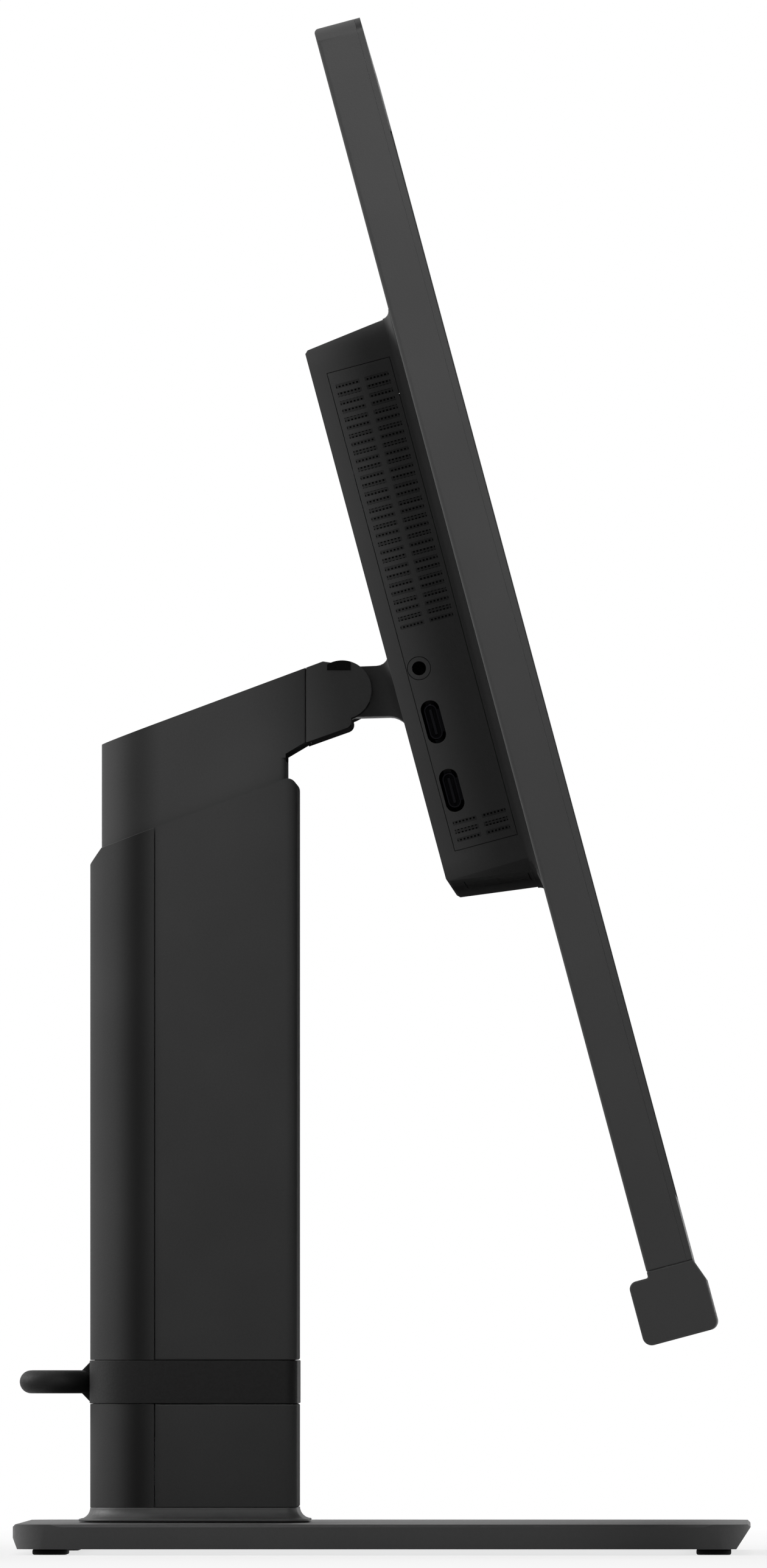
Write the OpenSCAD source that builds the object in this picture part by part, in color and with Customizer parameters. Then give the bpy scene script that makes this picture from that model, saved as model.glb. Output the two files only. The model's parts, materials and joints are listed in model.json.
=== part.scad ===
// All in one PC: a tilted display with a computer in its back, on a lift, tilt and swivel stand.
// Frame: +Z up, the screen faces -Y, +X is to the right of the person using it.
// Origin: centre of the base, on the table. Millimetres.

/* [Display housing] */
// Width of the display housing
head_w = 540; // [500:1:600]
// Thickness of the display housing without the rear box
slab_t = 12.1; // [11.5:0.1:15]
// Border left and right of the picture
border_side = 6.48; // [5:0.01:10]
// Border above the picture, where the camera sits
border_top = 12; // [11.5:0.5:18]
// Border between the picture and the speaker bar
border_low = 17.04; // [14:0.01:25]
// Depth of the housing's lower edge below the tilt axis
axis_to_low = 185.2; // [180:0.1:195]
// Wall of the housing frame
frame_wall = 1.8; // [1.4:0.1:2.4]
// Radius of the housing's top corners
head_corner = 4; // [2:0.5:8]

/* [Rear box] */
// Width of the box on the back of the display
box_w = 360; // [352:1:400]
// Depth of the box behind the display housing
box_d = 23.7; // [22.5:0.1:28]
// Top of the box above the tilt axis
box_up = 86.3; // [82:0.1:92]
// Lower edge of the box below the tilt axis
box_down = 60.2; // [60:0.1:66]
// Slope of the box's top and lower walls, over its depth
box_draft = 3; // [1:0.1:3]
// Wall of the box
box_wall = 2; // [1.6:0.1:2.4]
// Height of one vent slot
slot_h = 1.1; // [0.8:0.1:1.4]
// Spacing of the vent slots
slot_pitch = 2.2; // [1.8:0.1:3]

/* [Speaker bar] */
// Height of the speaker bar along the housing's lower edge
bar_h = 18.5; // [17:0.5:24]
// How far the speaker bar stands out in front of the screen
bar_front = 2; // [0.8:0.1:3]
// How far the speaker bar stands out behind the housing
bar_rear = 5.3; // [3:0.1:7]
// Height of the slope from the screen down to the speaker bar's front
bar_slope = 5.5; // [2:0.1:6]

/* [Stand] */
// Lean of the screen at rest, in degrees
tilt = 15; // [0:1:20]
// Height of the tilt axis above the table, at the lowest setting
axis_h = 224; // [215:1:250]
// Lift of the stand
lift = 110; // [80:1:120]
// Tilt axis to the rear face of the box
axis_gap = 14; // [11:0.1:16]
// Column's rear face, in from the base's rear edge
column_inset = 18.4; // [18:0.1:24]
// Width of the column
column_w = 72; // [68:1:90]
// Depth of the column, front to back
column_d = 53.9; // [52:0.1:60]
// Radius of the column's rear corners
rear_r = 17; // [12:0.5:20]
// Radius of the column's front corners
front_r = 3; // [3:0.5:5]
// Wall of the column covers
column_wall = 2.6; // [2.2:0.1:3]
// Gap between the column and the carriage that slides in it
slide_gap = 0.4; // [0.3:0.05:0.6]
// Slope of the arm's top, in degrees
arm_slope = 20.4; // [15:0.1:22]
// Tilt shaft radius
shaft_r = 4; // [3:0.1:5]

/* [Base] */
// Width of the base plate
base_w = 240; // [200:1:300]
// Depth of the base plate
base_d = 190; // [180:1:220]
// Thickness of the base plate
base_t = 6.4; // [6:0.1:8]
// Height of the rubber feet
foot_h = 1.5; // [1:0.1:3]
// Radius of the base plate's corners
base_corner = 14; // [8:1:24]
// How far the front edge leans back underneath
base_undercut = 3.7; // [1:0.1:5]
// Swivel pin radius
pin_r = 6; // [5:0.1:7]

/* [Cable clip] */
// Height of the cable clip's middle above the table
clip_z = 44.4; // [36:0.1:70]
// Height of the clip's strap
clip_h = 11.4; // [9:0.1:16]
// Radius of the clip's ring wire
wire_r = 3; // [2.5:0.1:3.4]

/* [Hidden] */
$fn = 64;
// Running clearance of a shaft, and the gap of pieces that are only laid together
run = 0.05;
fit = 0.15;

// Levels of the stand
base_top = foot_h + base_t;
washer_t = 1;
foot_gap = 0.3;
foot_z = base_top + foot_gap;
foot_t = 3.6;
foot_flare = 3;
base_edge = 0.7;
cover_z = foot_z + foot_t;
column_back = base_d / 2 - column_inset;
column_front = column_back - column_d;
column_y = column_back - column_d / 2;
seam_y = column_back - rear_r;
arm_reach = 11.7;
axis_y = column_front - arm_reach;
slope = tan(arm_slope);

// Sleeve top, carriage roof and arm
sleeve_front_z = axis_h - 22;
step_in = column_wall + slide_gap;
tube_wall = 2.4;
tube_front = column_front + step_in;
tube_back = column_back - step_in;
tube_in = step_in + tube_wall;
roof_back_z = axis_h - 14;
roof_t = tube_wall / cos(arm_slope);
beak_y = axis_y + 9.5;
arm_under_z = axis_h - 16.6;
barrel_r = 7.7;
ear_x = 22;
fork_x = 15.2;
cheek_t = 10.8;
knuckle_x = 14.9;
function roof(y) = roof_back_z + (tube_back - y) * slope;
function sleeve_top(y) = sleeve_front_z - (y - column_front) * slope;

// Mast, slide and lift spring inside the column
mast_x = 20;
mast_foot_x = 26;
mast_t = 2;
web_y = column_back - 14;
flange_y = web_y - 18;
mast_top = axis_h - 24;
slide_h = 40;
slide_x = mast_x - mast_t - slide_gap;
slide_z = mast_top + 4 - lift - slide_h;
tube_z = slide_z - 24;
coil_r = 9.5;
coil_z = slide_z - 12;
strip_t = 0.3;
strip_y = web_y - 0.4;
coil_y = strip_y - coil_r - 0.1;
axle_r = 2.5;
pocket = 4;
rim = 16;

// Planes of the display head, in its own upright frame with the tilt axis as origin
back_y = -axis_gap;
slab_back = back_y - box_d;
slab_front = slab_back - slab_t;
picture_w = head_w - 2 * border_side;
picture_h = picture_w * 9 / 16;
head_h = border_top + picture_h + border_low + bar_h;
head_bottom = -axis_to_low;
head_top = head_bottom + head_h;
bar_top = head_bottom + bar_h;
bezel_t = 1.5;
frame_floor = 1.6;
frame_edge = 1.2;
root_r = 2;
box_corner = 8;
bezel_back = slab_front + bezel_t;
floor_y = slab_back - frame_floor;
picture_top = head_top - border_top;
lcd_lap = 2.5;
cell_t = 1.4;
backlight_t = 6;
cell_back = bezel_back + cell_t;
backlight_back = cell_back + backlight_t;
inner_back = back_y - box_wall;

// Stand plate set into the box, and the VESA 100 pattern round it
plate_w = 84;
plate_h = 64;
plate_t = 4;
plate_y = back_y - plate_t;
vesa = 50;
bracket_w = 116;
bracket_h = 110;
hook_x = 24;
release_z = -22;
neck_top = 3;
neck_low = -10.6;

// Boards
board_t = 1.6;
board_gap = 2.4;
board_y = slab_back + board_gap;
board_face = board_y + board_t;
board_x0 = -148;
board_x1 = 30;
board_z0 = -57;
board_z1 = 60;
dimm_w = 69.6;
dimm_x = [board_x0 + 2, board_x0 + 2 + dimm_w + 2.4];
dimm_z = -37;
cpu = [-85, 22];
pipe_r = 2.8;
cold_y = board_face + 2.2;
cold_t = 3;
pipe_y = cold_y + cold_t + pipe_r;
pipe_turn_x = 59.5;
fin_z = 58;
fan = [100, 10];
fan_r = 37;
fan_y0 = slab_back + 4.5;
fan_y1 = fan_y0 + 12.5;

// Ports on the left side and underneath
side_port_y = back_y - 7.3;
jack_z = -2.6;
usb_c_z = [-16.8, -34.9];
jack_r = 1.8;
side_board_y = side_port_y - 2.6;
port_face = -(box_down - box_draft / 2 - 1.2);
rj_x = -120;
usb_a_x = [-97, -78];
video_x = -30;
inlet_x = 8;
bosses = [[box_w / 2 - 12, 62], [box_w / 2 - 12, -50]];
camera_z = head_top - 6;
button_x = head_w / 2 - 34;
button_y = slab_front + slab_t / 2 + 1.5;

// Colours
panel_grey = [0.28, 0.28, 0.28];
box_grey = [0.16, 0.16, 0.165];
stand_grey = [0.22, 0.22, 0.22];
black = [0.09, 0.09, 0.09];
steel = [0.62, 0.63, 0.65];
board_green = [0.08, 0.25, 0.13];
copper = [0.72, 0.43, 0.25];

// Box between two opposite corners
module block(lo, hi) translate(lo) cube(hi - lo);

// Extrudes a profile drawn in (Y, Z) along X, about X = 0
module along_x(w) rotate([90, 0, 90]) linear_extrude(w, center = true) children();

// Extrudes an outline drawn in (X, Z) from y0 to y1
module slab(y0, y1) translate([0, y1, 0]) rotate([90, 0, 0]) linear_extrude(y1 - y0) children();

// Round bars along X and Y
module rod_x(r, x0, x1, y, z) translate([x0, y, z]) rotate([0, 90, 0]) cylinder(r = r, h = x1 - x0);
module rod_y(r, y0, y1, x, z) translate([x, y1, z]) rotate([90, 0, 0]) cylinder(r = r, h = y1 - y0);

// Rectangle with its low corners rounded by r0 and its high corners by r1
module plan(x0, x1, y0, y1, r0, r1) {
  translate([x0, y0 + r0]) square([x1 - x0, y1 - r1 - y0 - r0]);
  translate([x0 + r0, y0]) square([x1 - x0 - 2 * r0, y1 - y0 - r1]);
  translate([x0 + r1, y0 + r0]) square([x1 - x0 - 2 * r1, y1 - y0 - r0]);
  for (x = [x0 + r0, x1 - r0]) translate([x, y0 + r0]) circle(r0);
  for (x = [x0 + r1, x1 - r1]) translate([x, y1 - r1]) circle(r1);
}

// Centred rectangle with rounded corners
module round_rect(w, h, r) plan(-w / 2, w / 2, -h / 2, h / 2, r, r);

// Copies on both sides of the middle plane
module both_sides() {
  children();
  mirror([1, 0, 0]) children();
}

// Sets an upright display piece on the tilt axis, at its lean
module at_head() translate([0, axis_y, axis_h]) rotate([-tilt, 0, 0]) children();

// Plan of the column, drawn in from its outside face by inset
module column_plan(inset) plan(-column_w / 2 + inset, column_w / 2 - inset, column_front + inset,
  column_back - inset, max(front_r - inset, 0.4), rear_r - inset);

// Carries an (outward, up) profile along the edge of a centred rectangle, whose low corners
// have radius r0 and whose high corners have radius r1
module round_edge(w, d, r0, r1) {
  both_sides() translate([w / 2, (r0 - r1) / 2, 0]) edge_run(d - r0 - r1) children();
  translate([0, -d / 2, 0]) rotate([0, 0, -90]) edge_run(w - 2 * r0) children();
  translate([0, d / 2, 0]) rotate([0, 0, 90]) edge_run(w - 2 * r1) children();
  both_sides() {
    translate([w / 2 - r1, d / 2 - r1, 0]) rotate_extrude(angle = 90) translate([r1, 0]) children();
    translate([w / 2 - r0, r0 - d / 2, 0]) rotate([0, 0, -90]) rotate_extrude(angle = 90)
      translate([r0, 0]) children();
  }
}
module edge_run(len) rotate([90, 0, 0]) linear_extrude(len, center = true) children();

// Hollow fillet of radius r on a land of height h, reaching 1 mm into the wall it runs along
module cove(r, h) difference() {
  translate([-1, 0]) square([1 + r, r + h]);
  translate([r, r + h]) circle(r);
}

// Rectangle in (across, depth) with the two corners at its far depth rounded
module soft_back(x0, x1, y0, y1, r) {
  translate([x0, y0]) square([x1 - x0, y1 - y0 - r]);
  translate([x0 + r, y0]) square([x1 - x0 - 2 * r, y1 - y0]);
  for (x = [x0 + r, x1 - r]) translate([x, y1 - r]) circle(r);
}

module base_plate() color(stand_grey) difference() {
  intersection() {
    translate([0, 0, foot_h]) linear_extrude(base_t) round_rect(base_w, base_d, base_corner);
    along_x(base_w + 2) polygon([[base_edge - base_d / 2, base_top], [base_d / 2 - base_edge, base_top],
      [base_d / 2, base_top - base_edge], [base_d / 2, base_top - 3.4], [base_d / 2 - 1.2, foot_h],
      [base_undercut - base_d / 2, foot_h], [-base_d / 2, base_top - base_edge]]);
    slab(-base_d, base_d) polygon([[base_edge - base_w / 2, base_top], [base_w / 2 - base_edge, base_top],
      [base_w / 2, base_top - base_edge], [base_w / 2 - 1.2, foot_h], [1.2 - base_w / 2, foot_h],
      [-base_w / 2, base_top - base_edge]]);
  }
  translate([0, 0, foot_h - 1]) linear_extrude(pocket + 1)
    round_rect(base_w - 2 * rim, base_d - 2 * rim, 4);
  translate([0, column_y, 0]) cylinder(r = pin_r + run, h = base_top + 1);
}

module base_weight() color(steel) difference() {
  translate([0, 0, foot_h + 0.4]) linear_extrude(pocket - 0.4)
    round_rect(base_w - 2 * rim - 1, base_d - 2 * rim - 1, 3.5);
  translate([0, column_y, 0]) cylinder(r = 16, h = base_top);
}

module base_feet() color(black)
  for (x = [-1, 1], y = [-1, 1])
    translate([x * (base_w / 2 - 30), y * (base_d / 2 - 9.5), 0]) linear_extrude(foot_h)
      round_rect(36, 9, 4);

module swivel_washer() color(black) translate([0, column_y, base_top]) difference() {
  cylinder(r = 22, h = washer_t);
  translate([0, 0, -1]) cylinder(r = pin_r + 0.4, h = washer_t + 2);
}

module column_foot() color(stand_grey) difference() {
  union() {
    translate([0, 0, foot_z]) linear_extrude(foot_t) column_plan(0);
    translate([0, column_y, foot_z]) round_edge(column_w, column_d, front_r, rear_r)
      cove(foot_flare, foot_t - foot_flare);
    translate([0, 0, foot_z]) linear_extrude(foot_t + 2.2) difference() {
      column_plan(column_wall + fit);
      column_plan(column_wall + 2.2);
    }
  }
  translate([0, column_y, foot_z - 1]) cylinder(r = 22.4, h = 1 + washer_t - foot_gap);
  translate([0, column_y, foot_z - 1]) cylinder(r = pin_r + 0.02, h = foot_t + 5);
}

module swivel_pin() color(steel) translate([0, column_y, 0]) {
  translate([0, 0, foot_h + 0.9]) cylinder(r = pin_r, h = cover_z - foot_h);
  translate([0, 0, cover_z]) cylinder(r = 9, h = 2);
}

module swivel_nut() color(steel) translate([0, column_y, foot_h]) difference() {
  union() {
    translate([0, 0, 1]) cylinder(r = 8.5, h = 2, $fn = 6);
    translate([0, 0, 2.6]) cylinder(r = 13, h = pocket - 2.7);
  }
  cylinder(r = pin_r + 0.02, h = 8);
}

// Shell of the lower column, with its slanted top and the groove for the cable clip
module sleeve() difference() {
  intersection() {
    translate([0, 0, cover_z]) linear_extrude(axis_h) difference() {
      column_plan(0);
      column_plan(column_wall);
    }
    along_x(column_w + 2) sleeve_side();
  }
  translate([0, 0, clip_z - clip_h / 2]) linear_extrude(clip_h) difference() {
    column_plan(-2);
    column_plan(1.2);
  }
}
module sleeve_side() {
  nose = 2.4;
  chamfer_y = column_back - step_in;
  polygon([[column_front, 0], [column_back, 0], [column_back, sleeve_top(chamfer_y) - 4.2],
    [chamfer_y, sleeve_top(chamfer_y)], [column_front + nose, sleeve_top(column_front + nose)],
    [column_front, sleeve_front_z - nose - 1]]);
  translate([column_front + nose, sleeve_front_z - nose - 1]) circle(nose);
}

module column_front_cover() color(stand_grey) intersection() {
  sleeve();
  block([-column_w, 0, 0], [column_w, seam_y - fit, axis_h]);
}

module column_rear_cover() color(stand_grey) intersection() {
  sleeve();
  block([-column_w, seam_y + fit, 0], [column_w, column_back + 5, axis_h]);
}

module mast_rail() color(steel) {
  difference() {
    block([-mast_x, flange_y, cover_z], [mast_x, web_y + mast_t, mast_top]);
    block([mast_t - mast_x, flange_y - 1, cover_z - 1], [mast_x - mast_t, web_y, mast_top + 1]);
  }
  difference() {
    block([-mast_foot_x, column_y - 16, cover_z], [mast_foot_x, web_y + mast_t, cover_z + mast_t]);
    translate([0, column_y, cover_z - 1]) cylinder(r = 10, h = mast_t + 2);
  }
}

// Strap seated in the column's groove, with an open ring behind it for the cables
module cable_clip() color(black) {
  turn_r = wire_r + 3.6;
  ring_y = column_back + 18.5 - wire_r - turn_r;
  straight = 10;
  slit = 5.5;
  translate([0, 0, clip_z - clip_h / 2 + 0.1]) linear_extrude(clip_h - 0.2) difference() {
    column_plan(-0.15);
    column_plan(1.1);
  }
  translate([0, 0, clip_z]) along_x(2 * straight) polygon([[column_back - 0.6, -5.4],
    [column_back, -5.4], [ring_y - turn_r, -wire_r], [ring_y - turn_r, wire_r],
    [column_back, 5.4], [column_back - 0.6, 5.4]]);
  rod_x(wire_r, -straight, straight, ring_y - turn_r, clip_z);
  both_sides() {
    translate([straight, ring_y, clip_z]) rotate([0, 0, -90]) rotate_extrude(angle = 180)
      translate([turn_r, 0]) circle(wire_r);
    rod_x(wire_r, slit, straight, ring_y + turn_r, clip_z);
    translate([slit, ring_y + turn_r, clip_z]) sphere(wire_r);
  }
}

module lift_spring_strip() color(steel)
  block([-10, strip_y, coil_z], [10, strip_y + strip_t, mast_top - 4]);

// Tube that slides in the column, with a sloping roof and a beak over the column's front
module lift_carriage() color(stand_grey) {
  half = column_w / 2 - step_in;
  difference() {
    intersection() {
      union() {
        translate([0, 0, tube_z]) linear_extrude(axis_h)
          plan(-half, half, tube_front, tube_back, 1.5, rear_r - step_in);
        translate([0, 0, arm_under_z - 1]) linear_extrude(axis_h)
          plan(-half, half, beak_y, column_y, 0.5, 0.5);
      }
      along_x(column_w) polygon([[tube_back, 0], [tube_back, roof_back_z], [beak_y, roof(beak_y)],
        [beak_y, axis_h - 13.5], [tube_front, arm_under_z], [tube_front, 0]]);
    }
    intersection() {
      translate([0, 0, tube_z - 1]) linear_extrude(axis_h)
        plan(tube_wall - half, half - tube_wall, tube_front + tube_wall, tube_back - tube_wall,
          0.5, rear_r - tube_in);
      along_x(column_w) polygon([[tube_front, 0], [tube_back, 0], [tube_back, roof_back_z - roof_t],
        [tube_front, roof(tube_front) - roof_t]]);
    }
    along_x(2 * ear_x + 0.4) polygon([[beak_y - 1, arm_under_z - 4], [tube_front + 4, arm_under_z - 0.2],
      [tube_front + 4, roof(tube_front + 4) - roof_t], [beak_y - 1, roof(beak_y - 1) - roof_t]]);
  }
}

module carriage_slide() color(black) difference() {
  union() {
    block([-mast_foot_x, tube_front + tube_wall, slide_z],
      [mast_foot_x, flange_y - 2, slide_z + slide_h]);
    block([-slide_x, flange_y - 3, slide_z], [slide_x, web_y - 1, slide_z + slide_h]);
    both_sides() block([slide_x - 2, flange_y - 2, tube_z], [slide_x, web_y - 2, slide_z + 1]);
  }
  rod_x(axle_r + 0.02, -30, 30, coil_y, coil_z);
}

module lift_spring_coil() color(steel) difference() {
  rod_x(coil_r, 3 - slide_x, slide_x - 3, coil_y, coil_z);
  rod_x(axle_r + run, -slide_x, slide_x, coil_y, coil_z);
}

module spring_axle() color(steel) rod_x(axle_r, -slide_x, slide_x, coil_y, coil_z);

// Casting between the carriage and the tilt shaft, forked round the display's knuckle
module tilt_arm() color(stand_grey) {
  rear_y = column_y + 8;
  mid_y = beak_y - 0.2;
  difference() {
    along_x(2 * ear_x) {
      polygon([[rear_y, roof(rear_y) - roof_t - run], [mid_y, roof(mid_y) - roof_t - run],
        [mid_y, roof(mid_y)], [axis_y + 3.2, axis_h + 7], [axis_y, axis_h], [axis_y - 3, axis_h - 9.3],
        [beak_y, axis_h - 13.7], [tube_front, arm_under_z], [rear_y, arm_under_z]]);
      translate([axis_y, axis_h]) circle(barrel_r);
    }
    block([-fork_x, axis_y - 20, axis_h - 20], [fork_x, axis_y + 8.4, axis_h + 20]);
    rod_x(shaft_r + 0.02, -40, 40, axis_y, axis_h);
  }
}

module tilt_shaft() color(steel) rod_x(shaft_r, -27, 27, axis_y, axis_h);

module tilt_washers() color(steel) both_sides() difference() {
  rod_x(6.6, ear_x, ear_x + 1.4, axis_y, axis_h);
  rod_x(shaft_r + run, ear_x - 1, ear_x + 3, axis_y, axis_h);
}

module tilt_nuts() color(steel) both_sides() difference() {
  translate([ear_x + 1.4, axis_y, axis_h]) rotate([0, 90, 0]) cylinder(r = 6.6, h = 3.4, $fn = 6);
  rod_x(shaft_r + 0.02, ear_x - 1, ear_x + 9, axis_y, axis_h);
}

// Cheeks that carry the arm's sides on to the hinge and cover its nuts
module hinge_caps() color(stand_grey) both_sides() difference() {
  cheek_y = beak_y - fit;
  translate([ear_x, 0, 0]) rotate([90, 0, 90]) linear_extrude(cheek_t) {
    polygon([[cheek_y, roof(cheek_y)], [axis_y + 5, roof(axis_y + 5)], [axis_y - 1, axis_h + 6.5],
      [axis_y, axis_h], [axis_y - 3, axis_h - 9.3], [cheek_y, axis_h - 13.7]]);
    translate([axis_y, axis_h]) circle(barrel_r);
  }
  rod_x(7, ear_x - 1, ear_x + cheek_t - 2, axis_y, axis_h);
}

// Plate set into the rear box, with the knuckle that turns on the tilt shaft
module stand_head() color(stand_grey) at_head() difference() {
  union() {
    slab(plate_y, back_y) round_rect(plate_w - 2 * fit, plate_h - 2 * fit, 3);
    both_sides() block([hook_x - 6, plate_y, plate_h / 2 - 2],
      [hook_x + 6, plate_y + 1.5, plate_h / 2 + 3.4]);
    along_x(2 * knuckle_x) {
      circle(barrel_r - 0.4);
      polygon([[0, 6.4], [back_y - 1, neck_top], [back_y - 1, neck_low], [0, -7]]);
    }
  }
  rod_x(shaft_r + run, -40, 40, 0, 0);
  rod_y(5.1, back_y - 2, back_y + 1, 0, release_z);
  rod_y(6.7, plate_y - 1, back_y - 1.6, 0, release_z);
}

module release_button() color(black) at_head() {
  rod_y(4.8, plate_y + 1.6, back_y - 0.2, 0, release_z);
  rod_y(6.3, plate_y + 1.4, plate_y + 2.2, 0, release_z);
}

module vesa_bracket() color(steel) at_head() difference() {
  y1 = plate_y - box_wall;
  union() {
    slab(y1 - 2, y1) round_rect(bracket_w, bracket_h, 6);
    for (x = [-vesa, vesa], z = [-vesa, vesa]) rod_y(4.2, slab_back, inner_back, x, z);
  }
  for (x = [-vesa, vesa], z = [-vesa, vesa]) rod_y(1.65, slab_back + 5, inner_back + 1, x, z);
}

// Front outline of the display housing above the speaker bar, drawn in by inset
module housing_outline(inset) plan(-head_w / 2 + inset, head_w / 2 - inset, bar_top + inset,
  head_top - inset, 0.3, max(head_corner - inset, 0.5));

module mid_frame() color(panel_grey) at_head() {
  difference() {
    intersection() {
      slab(bezel_back, slab_back) housing_outline(0);
      along_x(head_w + 2) mirror([1, -1])
        soft_back(bar_top - 9, head_top, bezel_back, slab_back, frame_edge);
      translate([0, 0, bar_top - 1]) linear_extrude(head_h)
        soft_back(-head_w / 2, head_w / 2, bezel_back, slab_back, frame_edge);
    }
    slab(bezel_back - 1, floor_y) housing_outline(frame_wall);
    block([-7, bezel_back - 1, head_top - 4], [7, bezel_back + 2.3, head_top + 1]);
  }
  for (p = [[board_x0 + 6, board_z1 - 6], [board_x0 + 6, -18], [board_x1 - 6, board_z1 - 6],
      [board_x1 - 6, board_z0 + 6]])
    rod_y(3, slab_back - 0.5, board_y, p[0], p[1]);
  for (x = [-26, 26]) rod_y(2, cell_back + 1.4, floor_y + 0.5, x, camera_z);
}

module front_bezel() color(black) at_head() difference() {
  slab(slab_front, bezel_back) housing_outline(0);
  slab(slab_front - 1, bezel_back + 1) translate([0, picture_top - picture_h / 2])
    square([picture_w, picture_h], center = true);
  rod_y(2, slab_front - 1, bezel_back + 1, 0, camera_z);
}

module lcd_panel(y0, y1) slab(y0, y1) translate([0, picture_top - picture_h / 2])
  square([picture_w + 2 * lcd_lap, picture_h + 2 * lcd_lap], center = true);

module lcd_cell() color([0.02, 0.02, 0.025]) at_head() lcd_panel(bezel_back, cell_back);

module backlight_unit() color([0.75, 0.75, 0.75]) at_head() lcd_panel(cell_back, backlight_back);

module lcd_brackets() color(steel) at_head() both_sides()
  block([picture_w / 2 - 24, backlight_back, picture_top - picture_h + 20],
    [picture_w / 2 - 10, floor_y, picture_top - 20]);

// Profile of the rear box in (Y, Z), drawn in by inset
module box_side(inset) {
  lead = 0.8;
  y1 = back_y - inset;
  polygon([[slab_back - (inset > 0 ? 1 : 0), box_up - inset], [y1 - lead, box_up - box_draft - inset],
    [y1, box_up - box_draft - inset - lead], [y1, box_draft - box_down + inset + lead],
    [y1 - lead, box_draft - box_down + inset], [slab_back - (inset > 0 ? 1 : 0), inset - box_down]]);
}
module box_solid(inset) intersection() {
  along_x(box_w + 2) box_side(inset);
  slab(slab_back - 1, back_y + 1) plan(inset - box_w / 2, box_w / 2 - inset, inset - box_down,
    box_up - inset, box_corner - inset, box_corner - inset);
}
module box_shell() difference() {
  box_solid(0);
  box_solid(box_wall);
}

// Places in the box walls for the grilles and the port plate; gap draws them in
wall_y0 = slab_back + 3;
wall_y1 = back_y - 4;
vent_w = 240;
vent_pitch = 3.8;
vent_slot = 2;
module side_window(gap) block([box_w / 2 - box_wall - 1, wall_y0 + gap, 10 - box_down + gap],
  [box_w / 2 + 1, wall_y1 - gap, box_up - 10 - gap]);
module top_window(gap) block([gap - vent_w / 2, wall_y0 + gap, box_up - 9],
  [vent_w / 2 - gap, wall_y1 - gap, box_up + 1]);
module io_window(gap) block([rj_x - 16 + gap, wall_y0 + gap, -box_down - 1],
  [inlet_x + 14 - gap, wall_y1 - gap, 9 - box_down]);

module rear_cover() color(box_grey) at_head() difference() {
  union() {
    difference() {
      box_shell();
      both_sides() side_window(0);
      top_window(0);
      io_window(0);
    }
    translate([0, slab_back, (box_up - box_down) / 2]) rotate([-90, 0, 0])
      round_edge(box_w, box_up + box_down, box_corner, box_corner) cove(root_r, 0.3);
    slab(plate_y - box_wall, inner_back + 0.5)
      round_rect(plate_w + 2 * box_wall, plate_h + 2 * box_wall, 4);
    both_sides() for (p = bosses) rod_y(4, slab_back, inner_back + 0.5, p[0], p[1]);
    for (z = [4, -39]) rod_y(2.5, side_board_y, inner_back + 0.5, 23 - box_w / 2, z);
  }
  slab(plate_y, back_y + 1) round_rect(plate_w, plate_h, 3);
  both_sides() block([hook_x - 6.3, plate_y - 0.1, plate_h / 2 - 1],
    [hook_x + 6.3, plate_y + 1.8, plate_h / 2 + 4]);
  for (x = [-vesa, vesa], z = [-vesa, vesa]) rod_y(2.2, inner_back - 1, back_y + 1, x, z);
  both_sides() for (p = bosses) {
    rod_y(1.3, slab_back - 1, back_y + 1, p[0], p[1]);
    rod_y(2.9, back_y - 2, back_y + 1, p[0], p[1]);
  }
}

module rear_cover_screws() color(steel) at_head() both_sides() for (p = bosses) {
  rod_y(2.7, back_y - 2, back_y - 0.4, p[0], p[1]);
  rod_y(1.25, slab_back + 3, back_y - 1, p[0], p[1]);
}

// Two columns of vent slots through the side wall, between two heights
module side_slots(z0, z1)
  for (z = [z0 : slot_pitch : z1], y = [wall_y0 + 1.4, (wall_y0 + wall_y1) / 2 + 0.7])
    translate([box_w / 2 - box_wall - 1, y, z])
      cube([box_wall + 2, (wall_y1 - wall_y0) / 2 - 2.1, slot_h]);

// Cut-outs of the left side, drawn on the right and mirrored
module port_cuts() {
  rod_x(3.05, box_w / 2 - 5, box_w / 2 + 1, side_port_y, jack_z);
  for (z = usb_c_z) translate([box_w / 2 - 2, side_port_y, z]) rotate([0, 90, 0])
    linear_extrude(5, center = true) round_rect(11.2, 4.8, 2.3);
}

module left_side_grille() color(box_grey) at_head() mirror([1, 0, 0]) difference() {
  intersection() {
    box_shell();
    side_window(fit);
  }
  side_slots(8, box_up - 12.6);
  side_slots(12 - box_down, -43);
  port_cuts();
}

module right_side_grille() color(box_grey) at_head() difference() {
  intersection() {
    box_shell();
    side_window(fit);
  }
  side_slots(8, box_up - 12.6);
  block([box_w / 2 - 5, back_y - 9, -34], [box_w / 2 + 1, back_y - 5.8, -26.8]);
}

module top_grille() color(box_grey) at_head() difference() {
  intersection() {
    box_shell();
    top_window(fit);
  }
  for (x = [6 - vent_w / 2 : vent_pitch : vent_w / 2 - 8])
    block([x, wall_y0 + 2, box_up - 12], [x + vent_slot, wall_y1 - 2, box_up + 1]);
}

// Cut-out in the port plate for a port of width w between two depths
module port_hole(x, w, y0, y1) block([x - w / 2 - 0.2, y0 - 0.2, -box_down - 1],
  [x + w / 2 + 0.2, y1 + 0.2, 6 - box_down]);

module io_shield() color(box_grey) at_head() difference() {
  intersection() {
    box_shell();
    io_window(fit);
  }
  port_hole(rj_x, 16, board_face, board_face + 13.4);
  for (x = usb_a_x) port_hole(x, 14.4, board_face, board_face + 7);
  port_hole(video_x, 18, board_face, board_face + 6.4);
  port_hole(inlet_x, 11, board_face, board_face + 11);
}

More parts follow.
